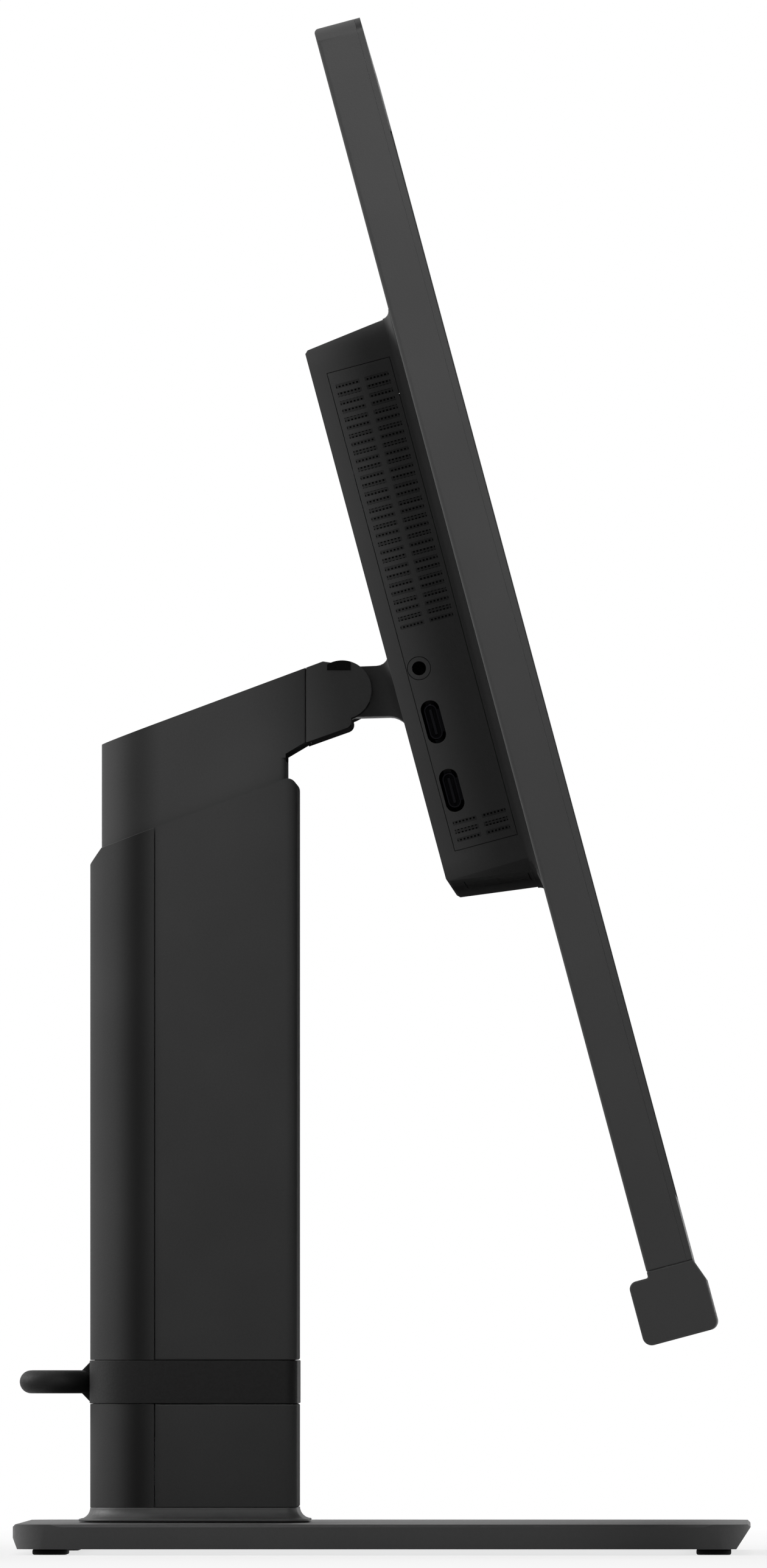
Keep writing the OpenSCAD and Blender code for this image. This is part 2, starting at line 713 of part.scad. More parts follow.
module speaker_bar() color(panel_grey) at_head() difference() {
  y0 = slab_front - bar_front;
  y1 = slab_back + bar_rear;
  r = 2.4;
  rear_top = bar_top - 1.7;
  along_x(head_w) {
    polygon([[slab_front, bar_top], [y0, bar_top - bar_slope], [y0, head_bottom + r], [y0 + r, head_bottom],
      [y1 - r, head_bottom], [y1, head_bottom + r], [y1, rear_top - 2], [y1 - 2, rear_top],
      [slab_back, rear_top], [slab_back, bar_top]]);
    translate([y0 + r, head_bottom + r]) circle(r);
    translate([y1 - r, head_bottom + r]) circle(r);
    translate([y1 - 2, rear_top - 2]) circle(2);
  }
  along_x(head_w - 4) polygon([[y0 + 1.8, bar_top - 3.4], [y0 + 1.8, head_bottom + 1.8],
    [y1 - 1.8, head_bottom + 1.8], [y1 - 1.8, rear_top - 1.8], [floor_y, rear_top - 1.8],
    [floor_y, bar_top + 1], [bezel_back + 1.8, bar_top + 1], [bezel_back + 1.8, bar_top - 3.4]]);
  both_sides() speaker_window(0);
  block([button_x - 6, button_y - 2.5, head_bottom - 1], [button_x + 6, button_y + 2.5, head_bottom + 3]);
}
speaker_w = 110;
speaker_x = head_w / 2 - 8 - speaker_w;
speaker_hole = 1.6;
speaker_pitch = 3.1;
module speaker_window(gap) block([speaker_x + gap, slab_front - bar_front - 0.5, head_bottom + 4 + gap],
  [speaker_x + speaker_w - gap, slab_front - bar_front + 2.5, bar_top - bar_slope - 0.5 - gap]);

module speaker_grilles() color(black) at_head() both_sides() difference() {
  intersection() {
    speaker_window(fit);
    block([0, slab_front - bar_front, head_bottom], [head_w, slab_front - bar_front + 1.8, bar_top]);
  }
  for (x = [4 : speaker_pitch : speaker_w - 3.6], z = [4.9, 8.5])
    translate([speaker_x + x, slab_front - bar_front - 1, head_bottom + z])
      cube([speaker_hole, 4, 2.8]);
}

module speakers() color(black) at_head() both_sides() {
  y0 = slab_front - bar_front + 1.8;
  block([speaker_x + 6, y0 + 1, head_bottom + 1.8], [speaker_x + 74, slab_back + 1, bar_top - 4.6]);
  for (x = [speaker_x + 20, speaker_x + 58])
    rod_y(4.6, y0 + 0.2, y0 + 2, x, (head_bottom + bar_top) / 2 - 1.6);
}

module motherboard() color(board_green) at_head() {
  difference() {
    block([board_x0, board_y, board_z0], [board_x1, board_face, board_z1]);
    for (z = [-vesa, vesa]) rod_y(6, board_y - 1, board_face + 1, -vesa, z);
  }
  for (x = dimm_x) block([x, board_face - 0.3, dimm_z], [x + dimm_w + 0.4, board_face + 2.8, dimm_z + 5]);
  block([-54, board_face - 0.3, 22], [-50.2, board_face + 2.6, 44]);
  block([board_x1 - 4, board_face - 0.3, -8], [board_x1 - 0.2, board_face + 2.6, 14]);
  for (p = [[-30, -4], [-132, 40], [-18, 52]])
    block([p[0], board_face - 0.3, p[1]], [p[0] + 14, board_face + 1.2, p[1] + 7]);
}

module processor() color([0.5, 0.52, 0.5]) at_head()
  block([cpu[0] - 18.7, board_face, cpu[1] - 18.7], [cpu[0] + 18.7, cold_y, cpu[1] + 18.7]);

// Cold plate on the processor, heat pipe, and fins over the blower's outlet
module heatsink() color(copper) at_head() {
  block([cpu[0] - 28, cold_y, cpu[1] - 28], [cpu[0] + 28, cold_y + cold_t, cpu[1] + 28]);
  block([cpu[0] - 20, cold_y + 1, cpu[1] - 4], [cpu[0] + 20, pipe_y, cpu[1] + 4]);
  rod_x(pipe_r, cpu[0] - 24, pipe_turn_x, pipe_y, cpu[1]);
  translate([pipe_turn_x, pipe_y, cpu[1]]) cylinder(r = pipe_r, h = fin_z - cpu[1]);
  translate([pipe_turn_x, pipe_y, cpu[1]]) sphere(pipe_r);
  translate([pipe_turn_x, pipe_y, fin_z]) sphere(pipe_r);
  rod_x(pipe_r, pipe_turn_x, fan[0] + 36, pipe_y, fin_z);
  for (i = [0 : 23])
    translate([fan[0] - 35 + i * 3, fan_y0 + 0.5, fin_z - 8]) cube([0.8, 11.5, 16]);
  for (y = [fan_y0 + 0.5, fan_y0 + 11.2])
    block([fan[0] - 35, y, fin_z - 8], [fan[0] + 34.8, y + 0.8, fin_z + 8]);
}

module fan_scroll(inset) {
  translate(fan) circle(fan_r - inset);
  translate([fan[0] - fan_r + inset, fan[1]])
    square([2 * (fan_r - inset), fin_z - 8.5 - fan[1] + (inset > 0 ? 1 : 0)]);
}

module fan_housing() color(black) at_head() {
  difference() {
    slab(fan_y0, fan_y1) fan_scroll(0);
    slab(fan_y0 + 1.2, fan_y1 - 1) fan_scroll(1.2);
    rod_y(21, fan_y1 - 2, fan_y1 + 1, fan[0], fan[1]);
  }
  rod_y(1.5, fan_y0 + 0.5, fan_y0 + 9, fan[0], fan[1]);
  for (x = [-30, 30], z = [-18, 34]) rod_y(2.5, slab_back, fan_y0 + 0.5, fan[0] + x, fan[1] + z);
}

module fan_rotor() color([0.2, 0.2, 0.22]) at_head() difference() {
  union() {
    rod_y(11, fan_y0 + 1.6, fan_y0 + 10.4, fan[0], fan[1]);
    rod_y(33, fan_y0 + 1.6, fan_y0 + 2.6, fan[0], fan[1]);
    for (i = [0 : 22]) translate([fan[0], 0, fan[1]]) rotate([0, i * 360 / 23, 0])
      translate([20, fan_y0 + 2.2, 0]) rotate([0, 24, 0]) cube([13, 8, 0.9]);
  }
  rod_y(1.5 + run, fan_y0, fan_y0 + 9.6, fan[0], fan[1]);
}

module memory_modules() color(board_green) at_head() for (x = dimm_x) {
  y = board_face + 2.8;
  block([x, y, dimm_z], [x + dimm_w, y + 1.2, dimm_z + 30]);
  for (i = [0 : 3]) block([x + 5 + i * 16, y + 1, dimm_z + 7], [x + 16 + i * 16, y + 2.2, dimm_z + 19]);
}

module ssd_module() color(black) at_head() {
  block([-50, board_face + 1, 22], [30, board_face + 1.8, 44]);
  block([-44, board_face + 1.6, 24], [10, board_face + 3, 42]);
  rod_y(2.5, board_face, board_face + 1.2, 27, 33);
}

module wifi_card() color(board_green) at_head() {
  block([-4, board_face + 1, -8], [board_x1 - 4.2, board_face + 1.8, 14]);
  block([0, board_face + 1.6, -5], [18, board_face + 3, 11]);
  rod_y(2.5, board_face, board_face + 1.2, -1, 3);
}

module coin_cell() color(steel) at_head() rod_y(10, board_face, board_face + 3.2, 15, -27);

module side_io_board() color(board_green) at_head()
  block([4.2 - box_w / 2, side_board_y - board_t, -44], [28 - box_w / 2, side_board_y, 8.5]);

module audio_jack() color(black) at_head() difference() {
  x0 = -box_w / 2;
  union() {
    block([x0 + 3, side_board_y, jack_z - 3.2], [x0 + 16, side_port_y + 2.8, jack_z + 3.2]);
    rod_x(2.9, x0 + 0.3, x0 + 4, side_port_y, jack_z);
  }
  rod_x(jack_r, x0 - 1, x0 + 14.5, side_port_y, jack_z);
}

module usb_c_ports() color(steel) at_head() for (z = usb_c_z) {
  x0 = -box_w / 2;
  difference() {
    union() {
      translate([x0 + 5, side_port_y, z]) rotate([0, 90, 0]) linear_extrude(9, center = true)
        round_rect(9, 3.3, 1.6);
      block([x0 + 3.4, side_board_y, z - 3], [x0 + 9, side_port_y - 1, z + 3]);
    }
    translate([x0 + 3.5, side_port_y, z]) rotate([0, 90, 0]) linear_extrude(9, center = true)
      round_rect(8.3, 2.6, 1.25);
  }
  block([x0 + 1.4, side_port_y - 0.35, z - 3.3], [x0 + 9, side_port_y + 0.35, z + 3.3]);
}

// Open port shell of width w and height h on the board's edge
module port_shell(x, w, h, depth, wall) difference() {
  block([x - w / 2, board_face, port_face], [x + w / 2, board_face + h, port_face + depth]);
  block([x - w / 2 + wall, board_face + wall, port_face - 1],
    [x + w / 2 - wall, board_face + h - wall, port_face + depth - 2]);
}

module ethernet_jack() color(steel) at_head() port_shell(rj_x, 16, 13.4, 18, 2);

module video_port() color(steel) at_head() {
  port_shell(video_x, 17.6, 6, 15, 0.6);
  block([video_x - 6, board_face + 2.4, port_face + 2],
    [video_x + 6, board_face + 3.6, port_face + 14]);
}

module usb_a_ports() color(steel) at_head() for (x = usb_a_x) {
  port_shell(x, 14, 6.6, 15, 0.6);
  block([x - 5.8, board_face + 3, port_face + 1.6], [x + 5.8, board_face + 5, port_face + 14]);
}

module power_inlet() color(black) at_head() {
  difference() {
    block([inlet_x - 5.5, board_face, port_face],
      [inlet_x + 5.5, board_face + 10.6, port_face + 15]);
    translate([inlet_x, board_face + 5.3, port_face - 1]) cylinder(r = 3.8, h = 12);
  }
  translate([inlet_x, board_face + 5.3, port_face + 1.5]) cylinder(r = 1.3, h = 12);
}

module camera_module() color(board_green) at_head() difference() {
  union() {
    block([-30, cell_back + 0.2, camera_z - 2.8], [30, cell_back + 1.4, camera_z + 3]);
    block([-4, bezel_back + 0.8, camera_z - 2.8], [4, cell_back + 0.5, camera_z + 2.8]);
  }
  rod_y(1.6, bezel_back, cell_back - 0.1, 0, camera_z);
}

module camera_shutter() color(black) at_head() difference() {
  union() {
    block([-10.4, bezel_back + 0.1, camera_z - 2.8], [4, bezel_back + 0.6, camera_z + 3.4]);
    block([-6, bezel_back + 0.1, camera_z + 3], [0, bezel_back + 1.9, camera_z + 5.8]);
  }
  rod_y(2.2, bezel_back - 1, bezel_back + 0.9, 0, camera_z);
}

module power_button() color(black) at_head() {
  block([button_x - 5.7, button_y - 2.2, head_bottom],
    [button_x + 5.7, button_y + 2.2, head_bottom + 2.4]);
  block([button_x - 7.4, button_y - 3.4, head_bottom + 1.9],
    [button_x + 7.4, button_y + 3.4, head_bottom + 2.7]);
}

module power_switch() color(board_green) at_head() {
  block([button_x - 3, button_y - 3, head_bottom + 3.6], [button_x + 3, button_y + 3, head_bottom + 7]);
  block([button_x - 10, button_y - 4, head_bottom + 6.8], [button_x + 10, button_y + 4, head_bottom + 8]);
  both_ends() translate([8, 0, head_bottom + 7.8]) cylinder(r = 1.6, h = bar_h - 7.8);
}
module both_ends() for (s = [-1, 1]) translate([button_x, button_y, 0]) scale([s, 1, 1]) children();

base_plate();
base_weight();
base_feet();
swivel_washer();
column_foot();
swivel_pin();
swivel_nut();
column_front_cover();
column_rear_cover();
mast_rail();
cable_clip();
lift_spring_strip();
lift_carriage();
carriage_slide();
lift_spring_coil();
spring_axle();
tilt_arm();
tilt_shaft();
tilt_washers();
tilt_nuts();
hinge_caps();
stand_head();
vesa_bracket();
mid_frame();
rear_cover();
left_side_grille();
right_side_grille();
top_grille();
io_shield();
front_bezel();
lcd_cell();
backlight_unit();
lcd_brackets();
speaker_bar();
speaker_grilles();
speakers();
motherboard();
processor();
heatsink();
fan_housing();
fan_rotor();
memory_modules();
ssd_module();
wifi_card();
coin_cell();
side_io_board();
audio_jack();
usb_c_ports();
ethernet_jack();
video_port();
usb_a_ports();
power_inlet();
camera_module();
camera_shutter();
power_switch();
power_button();
release_button();
rear_cover_screws();
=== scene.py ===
"""Finishes, softened edges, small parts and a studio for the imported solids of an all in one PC.

Laid out as a Blender add-on and run as a script.
"""

import json
import math

import bmesh
import bpy
from mathutils import Matrix, Vector

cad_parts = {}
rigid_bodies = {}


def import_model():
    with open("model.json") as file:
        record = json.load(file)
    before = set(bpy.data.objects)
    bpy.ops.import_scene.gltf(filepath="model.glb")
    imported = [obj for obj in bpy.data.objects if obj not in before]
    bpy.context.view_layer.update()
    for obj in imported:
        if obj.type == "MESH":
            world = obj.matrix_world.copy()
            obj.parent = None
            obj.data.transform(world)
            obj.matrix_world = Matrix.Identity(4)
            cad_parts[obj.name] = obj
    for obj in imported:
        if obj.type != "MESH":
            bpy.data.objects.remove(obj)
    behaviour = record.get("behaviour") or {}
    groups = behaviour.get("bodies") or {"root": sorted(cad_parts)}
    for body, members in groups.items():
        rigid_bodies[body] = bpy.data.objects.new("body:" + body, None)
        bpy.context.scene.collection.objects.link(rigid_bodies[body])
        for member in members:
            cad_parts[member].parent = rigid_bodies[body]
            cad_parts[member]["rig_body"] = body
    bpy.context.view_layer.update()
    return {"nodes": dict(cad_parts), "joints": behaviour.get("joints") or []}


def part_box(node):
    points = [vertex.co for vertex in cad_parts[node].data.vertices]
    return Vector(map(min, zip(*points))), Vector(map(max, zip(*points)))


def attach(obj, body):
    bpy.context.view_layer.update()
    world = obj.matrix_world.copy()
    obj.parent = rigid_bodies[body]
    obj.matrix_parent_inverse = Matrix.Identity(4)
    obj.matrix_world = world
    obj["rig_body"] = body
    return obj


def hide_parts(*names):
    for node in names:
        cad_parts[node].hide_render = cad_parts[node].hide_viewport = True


bl_info = {
    "name": "All in one PC on a lift stand",
    "version": (1, 0, 0),
    "blender": (4, 5, 0),
    "location": "3D View > Sidebar > PC",
    "description": "Dresses the packed solids of an all in one PC and sets them in a studio",
    "category": "Object",
}

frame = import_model()

MM = 0.001
PHOTO_W = 1260
PHOTO_H = 2576

# How a CAD node's triangles are joined into faces, and the angles at which an edge counts as sharp
WELD = 0.002 * MM
FLAT = math.radians(0.4)
SHARP = math.radians(28)
CREASE = math.radians(35)
# How near a point lies to a face or an edge to count as on it
TOUCH = 0.05 * MM
# How squarely a face looks one way, as a cosine, for any way and for down
SQUARE = 0.9
DOWNWARD = 0.6

# The display's own upright frame: the tilt axis is its origin, and +Y points out of its back
joints = {joint["name"]: joint for joint in frame["joints"]}
hinge_at = Vector(joints["tilt"]["pos_m"])
fan_axis = joints["fan_spin"]["axis"]
lean = math.atan2(-fan_axis[2], fan_axis[1])
head_frame = Matrix.Translation(hinge_at) @ Matrix.Rotation(-lean, 4, "X")
head_turn = (lean, 0.0, 0.0)


def to_linear(hex_colour):
    """Turns an sRGB hex colour into linear red, green and blue."""
    parts = [int(hex_colour[i:i + 2], 16) / 255 for i in (0, 2, 4)]
    return [p / 12.92 if p <= 0.04045 else ((p + 0.055) / 1.055) ** 2.4 for p in parts]


def colour(name, description, hex_colour):
    """A colour that a user may change."""
    return bpy.props.FloatVectorProperty(name=name, description=description, subtype="COLOR",
                                         size=3, min=0.0, max=1.0, default=to_linear(hex_colour))


def length(name, description, millimetres):
    """A length that a user may change."""
    return bpy.props.FloatProperty(name=name, description=description, default=millimetres * MM,
                                   min=0.0, unit="LENGTH", subtype="DISTANCE", precision=5)


class PcColours(bpy.types.PropertyGroup):
    """Colours of the finishes."""

    panel: colour("Display housing", "Moulded grey of the housing and the speaker bar", "454545")
    box: colour("Rear box", "Moulded grey of the box on the back", "434343")
    stand: colour("Column", "Grey lacquer of the column's covers", "454545")
    carriage: colour("Carriage", "Grey lacquer of the carriage", "4A4A4A")
    # Painted shade: the dark colour that the column's and carriage's lacquer is blended into along the
    # rear corners
    corner_shade: colour("Stand's plastic", "Dark plastic under the stand's lacquer", "060606")
    # Painted light: the stand head is a lighter grey than the arm because it sits in the display's
    # shade
    neck: colour("Stand head", "Paint on the plate and knuckle that carry the display", "5A5A5A")
    base: colour("Base", "Powder coat of the base plate and its foot", "464646")
    casting: colour("Arm", "Paint on the arm and its cheeks", "4C4C4C")
    strap: colour("Cable clip", "Black nylon of the clip", "0E0E0E")
    rubber: colour("Rubber", "Feet and hinge pads", "0B0B0B")
    dust_mesh: colour("Dust mesh", "Woven nylon in the vents and behind the speakers", "363636")
    bezel: colour("Bezel", "Black ABS round the screen", "101010")
    screen: colour("Screen", "Screen when it is off", "07080A")
    bloom: colour("Lens bloom", "Violet that the coating gives the camera lens", "341D45")
    board: colour("Board", "Solder mask of the circuit boards", "123A22")
    copper: colour("Copper", "Heat pipe and fins", "B4714A")
    steel: colour("Steel", "Zinc plated and stamped steel", "A9ABAE")
    nickel: colour("Black nickel", "Dark plating of the small sockets", "121214")
    gold: colour("Contacts", "Gold plating of the contacts", "D9B25A")


class PcSizes(bpy.types.PropertyGroup):
    """Sizes of the small parts and of the softened edges."""

    shell_edge: length("Shell edge", "Rounding along the edges of the mouldings", 0.45)
    carriage_edge: length("Carriage edge", "Rounding along the long edges of the carriage", 1.0)
    foot_edge: length("Foot edge", "Rounding along the edges of the column's foot", 0.15)
    rib_edge: length("Rib edge", "Rounding along the edges of vent slots and small parts", 0.12)
    neck_fillet: length("Neck fillet", "Fillet where the neck meets the stand head's plate", 4.0)
    cheek_corner: length("Cheek corner", "Rounding of the lower corner of the arm and its cheeks", 1.9)
    # Middle and half width of the band of painted shade along the rear corners, back from the covers'
    # seam
    shade_band_in: length("Thin lacquer's place", "From the covers' seam back to where lacquer is thin", 4.3)
    shade_band_half: length("Thin lacquer's reach", "From there to where the lacquer is full again", 6.8)
    mesh_pitch: length("Dust mesh pitch", "Spacing of the holes in the dust mesh", 0.9)
    mesh_bar: length("Dust mesh bar", "Width of the bars between the holes", 0.64)
    mesh_thick: length("Dust mesh thickness", "Thickness of the dust mesh", 0.2)
    mesh_inset: length("Dust mesh inset", "Depth of the dust mesh below the outer face", 0.3)


def add(tree, kind, settings=None, links=None):
    """Adds one node, sets its values and joins its inputs to other nodes' outputs."""
    made = tree.nodes.new(kind)
    for key, value in (settings or {}).items():
        if isinstance(key, str) and hasattr(made, key):
            setattr(made, key, value)
        else:
            made.inputs[key].default_value = value
    for key, source in (links or {}).items():
        tree.links.new(source, made.inputs[key])
    return made


def start_finish(name, **constants):
    """A new material with its constant sockets set, its shader and its object coordinates."""
    material = bpy.data.materials.new(name)
    material.use_nodes = True
    tree = material.node_tree
    shader = tree.nodes["Principled BSDF"]
    for socket, value in constants.items():
        shader.inputs[socket.replace("_", " ")].default_value = value
    place = add(tree, "ShaderNodeTexCoord").outputs["Object"]
    return tree, shader, place


def shade(colour_in, factor):
    """A colour made lighter or darker, with its alpha."""
    return [min(1.0, part * factor) for part in colour_in] + [1.0]


def painted_corner_shade(tree, place, full, under, middle, half, share):
    """Painted shade: a coat's colour darkened in a soft band along an upright side corner, most on
    sideways faces.
    """
    depth = add(tree, "ShaderNodeSeparateXYZ", links={"Vector": place})
    normal = add(tree, "ShaderNodeTexCoord").outputs["Normal"]
    across = add(tree, "ShaderNodeSeparateXYZ", links={"Vector": normal})
    sideways = add(tree, "ShaderNodeMath", {"operation": "ABSOLUTE"}, {0: across.outputs["X"]})
    off = add(tree, "ShaderNodeMath", {"operation": "SUBTRACT", 1: middle}, {0: depth.outputs["Y"]})
    away = add(tree, "ShaderNodeMath", {"operation": "ABSOLUTE"}, {0: off.outputs["Value"]})
    band = add(tree, "ShaderNodeMapRange", {"interpolation_type": "SMOOTHSTEP", "From Max": half,
                                            "To Min": share, "To Max": 0.0},
               {"Value": away.outputs["Value"]})
    shaded = add(tree, "ShaderNodeMath", {"operation": "MULTIPLY"},
               {0: band.outputs["Result"], 1: sideways.outputs["Value"]})
    return add(tree, "ShaderNodeMix", {"data_type": "RGBA", 7: shade(under, 1.0)},
               {0: shaded.outputs["Value"], 6: full}).outputs[2]


def grained(name, base, grain_mm, depth_mm, rough, gloss, wear_and_highlight, painted_shade_band=None):
    """A dull moulded, coated or rubber surface: fine grain, slow changes of tone, lighter edges (wear
    and painted highlight).
    """
    tree, shader, place = start_finish(name, IOR=1.5, Specular_IOR_Level=gloss)
    blotch_mm = 35.0
    grain_share = 0.55
    spread = 0.12
    grain = add(tree, "ShaderNodeTexNoise", {"Scale": 1 / (grain_mm * MM), "Detail": 3.0,
                                             "Roughness": 0.6}, {"Vector": place})
    blotch = add(tree, "ShaderNodeTexNoise", {"Scale": 1 / (blotch_mm * MM), "Detail": 2.0},
                 {"Vector": place})
    mixed = add(tree, "ShaderNodeMath", {"operation": "MULTIPLY_ADD", 1: grain_share},
                {0: grain.outputs["Fac"], 2: blotch.outputs["Fac"]})
    tone = add(tree, "ShaderNodeMapRange", {"From Min": 0.45, "From Max": 1.1},
               {"Value": mixed.outputs["Value"]})
    flat = add(tree, "ShaderNodeMix", {"data_type": "RGBA", 6: shade(base, 1 - spread),
                                       7: shade(base, 1 + spread)}, {0: tone.outputs["Result"]})
    # Marked edges are lighter: part wear from rubbing, part painted highlight
    edge = add(tree, "ShaderNodeAttribute", {"attribute_name": "wear_and_highlight"})
    edge_toned = add(tree, "ShaderNodeMix", {"data_type": "RGBA", 7: shade(base, wear_and_highlight)},
                 {0: edge.outputs["Fac"], 6: flat.outputs[2]})
    dull = add(tree, "ShaderNodeMapRange", {"From Min": 0.3, "From Max": 0.7, "To Min": rough - 0.06,
                                            "To Max": rough + 0.06}, {"Value": grain.outputs["Fac"]})
    bump = add(tree, "ShaderNodeBump", {"Strength": 1.0, "Distance": depth_mm * MM},
               {"Height": grain.outputs["Fac"]})
    coat_colour = edge_toned.outputs[2]
    # Where given, painted shade darkens a band along the side corners
    if painted_shade_band:
        coat_colour = painted_corner_shade(tree, place, coat_colour, *painted_shade_band)
    tree.links.new(coat_colour, shader.inputs["Base Color"])
    tree.links.new(dull.outputs["Result"], shader.inputs["Roughness"])
    tree.links.new(bump.outputs["Normal"], shader.inputs["Normal"])


def drawn_metal(name, base, line_mm, depth_mm, rough, along=(1.0, 1.0, 0.06)):
    """A rolled, drawn or plated metal: fine lines one way, and a little tarnish."""
    tree, shader, place = start_finish(name, Metallic=1.0)
    tarnish_mm = 9.0
    spread = 0.15
    turned = add(tree, "ShaderNodeMapping", {"Scale": along}, {"Vector": place})
    lines = add(tree, "ShaderNodeTexNoise", {"Scale": 1 / (line_mm * MM), "Detail": 4.0},
                {"Vector": turned.outputs["Vector"]})
    tarnish = add(tree, "ShaderNodeTexNoise", {"Scale": 1 / (tarnish_mm * MM), "Detail": 3.0},
                  {"Vector": place})
    tint = add(tree, "ShaderNodeMix", {"data_type": "RGBA", 6: shade(base, 1 - spread),
                                       7: shade(base, 1 + spread)}, {0: tarnish.outputs["Fac"]})
    dull = add(tree, "ShaderNodeMapRange", {"From Min": 0.3, "From Max": 0.7, "To Min": rough - 0.08,
                                            "To Max": rough + 0.1}, {"Value": lines.outputs["Fac"]})
    bump = add(tree, "ShaderNodeBump", {"Strength": 0.6, "Distance": depth_mm * MM},
               {"Height": lines.outputs["Fac"]})
    tree.links.new(tint.outputs[2], shader.inputs["Base Color"])
    tree.links.new(dull.outputs["Result"], shader.inputs["Roughness"])
    tree.links.new(bump.outputs["Normal"], shader.inputs["Normal"])


def solder_mask(name, base):
    """Green solder mask on glass fibre board: copper tracks show through as paler, raised lines."""
    tree, shader, place = start_finish(name, IOR=1.5, Roughness=0.32)
    turned = add(tree, "ShaderNodeMapping", {"Rotation": head_turn}, {"Vector": place})
    tracks = add(tree, "ShaderNodeTexBrick",
                 {"Scale": 1.0, "Brick Width": 7 * MM, "Row Height": 0.9 * MM,
                  "Mortar Size": 0.18 * MM, "Color1": shade(base, 0.9), "Color2": shade(base, 1.1),
                  "Mortar": shade(base, 2.4)},
                 {"Vector": turned.outputs["Vector"]})
    bump = add(tree, "ShaderNodeBump", {"Strength": 0.5, "Distance": 0.05 * MM},
               {"Height": tracks.outputs["Fac"]})
    tree.links.new(tracks.outputs["Color"], shader.inputs["Base Color"])
    tree.links.new(bump.outputs["Normal"], shader.inputs["Normal"])


def screen_film(name, base):
    """Anti-glare film over a dark liquid crystal cell: near black, with a soft even sheen."""
    tree, shader, place = start_finish(name, IOR=1.49, Specular_IOR_Level=0.3, Coat_Weight=0.1,
                                       Coat_Roughness=0.28)
    # The film's grit is about 0.03 mm across, drawn at 0.3 mm so that it shows
    grit = add(tree, "ShaderNodeTexNoise", {"Scale": 1 / (0.3 * MM), "Detail": 2.0},
               {"Vector": place})
    tint = add(tree, "ShaderNodeMix", {"data_type": "RGBA", 6: shade(base, 0.85),
                                       7: shade(base, 1.2)}, {0: grit.outputs["Fac"]})
    dull = add(tree, "ShaderNodeMapRange", {"To Min": 0.24, "To Max": 0.4},
               {"Value": grit.outputs["Fac"]})
    bump = add(tree, "ShaderNodeBump", {"Strength": 0.25, "Distance": 0.01 * MM},
               {"Height": grit.outputs["Fac"]})
    tree.links.new(tint.outputs[2], shader.inputs["Base Color"])
    tree.links.new(dull.outputs["Result"], shader.inputs["Roughness"])
    tree.links.new(bump.outputs["Normal"], shader.inputs["Normal"])


def lens_glass(name, base, violet):
    """Dark coated lens glass: a hard gloss over a faint violet bloom that is strongest at the rim."""
    tree, shader, place = start_finish(name, IOR=1.52, Roughness=0.05, Coat_Weight=1.0)
    bloom = add(tree, "ShaderNodeLayerWeight", {"Blend": 0.4})
    smear = add(tree, "ShaderNodeTexNoise", {"Scale": 1 / (0.4 * MM), "Detail": 2.0}, {"Vector": place})
    both = add(tree, "ShaderNodeMath", {"operation": "MULTIPLY"},
               {0: bloom.outputs["Facing"], 1: smear.outputs["Fac"]})
    tint = add(tree, "ShaderNodeMix", {"data_type": "RGBA", 6: shade(base, 1.0),
                                       7: shade(violet, 1.0)}, {0: both.outputs["Value"]})
    tree.links.new(tint.outputs[2], shader.inputs["Base Color"])


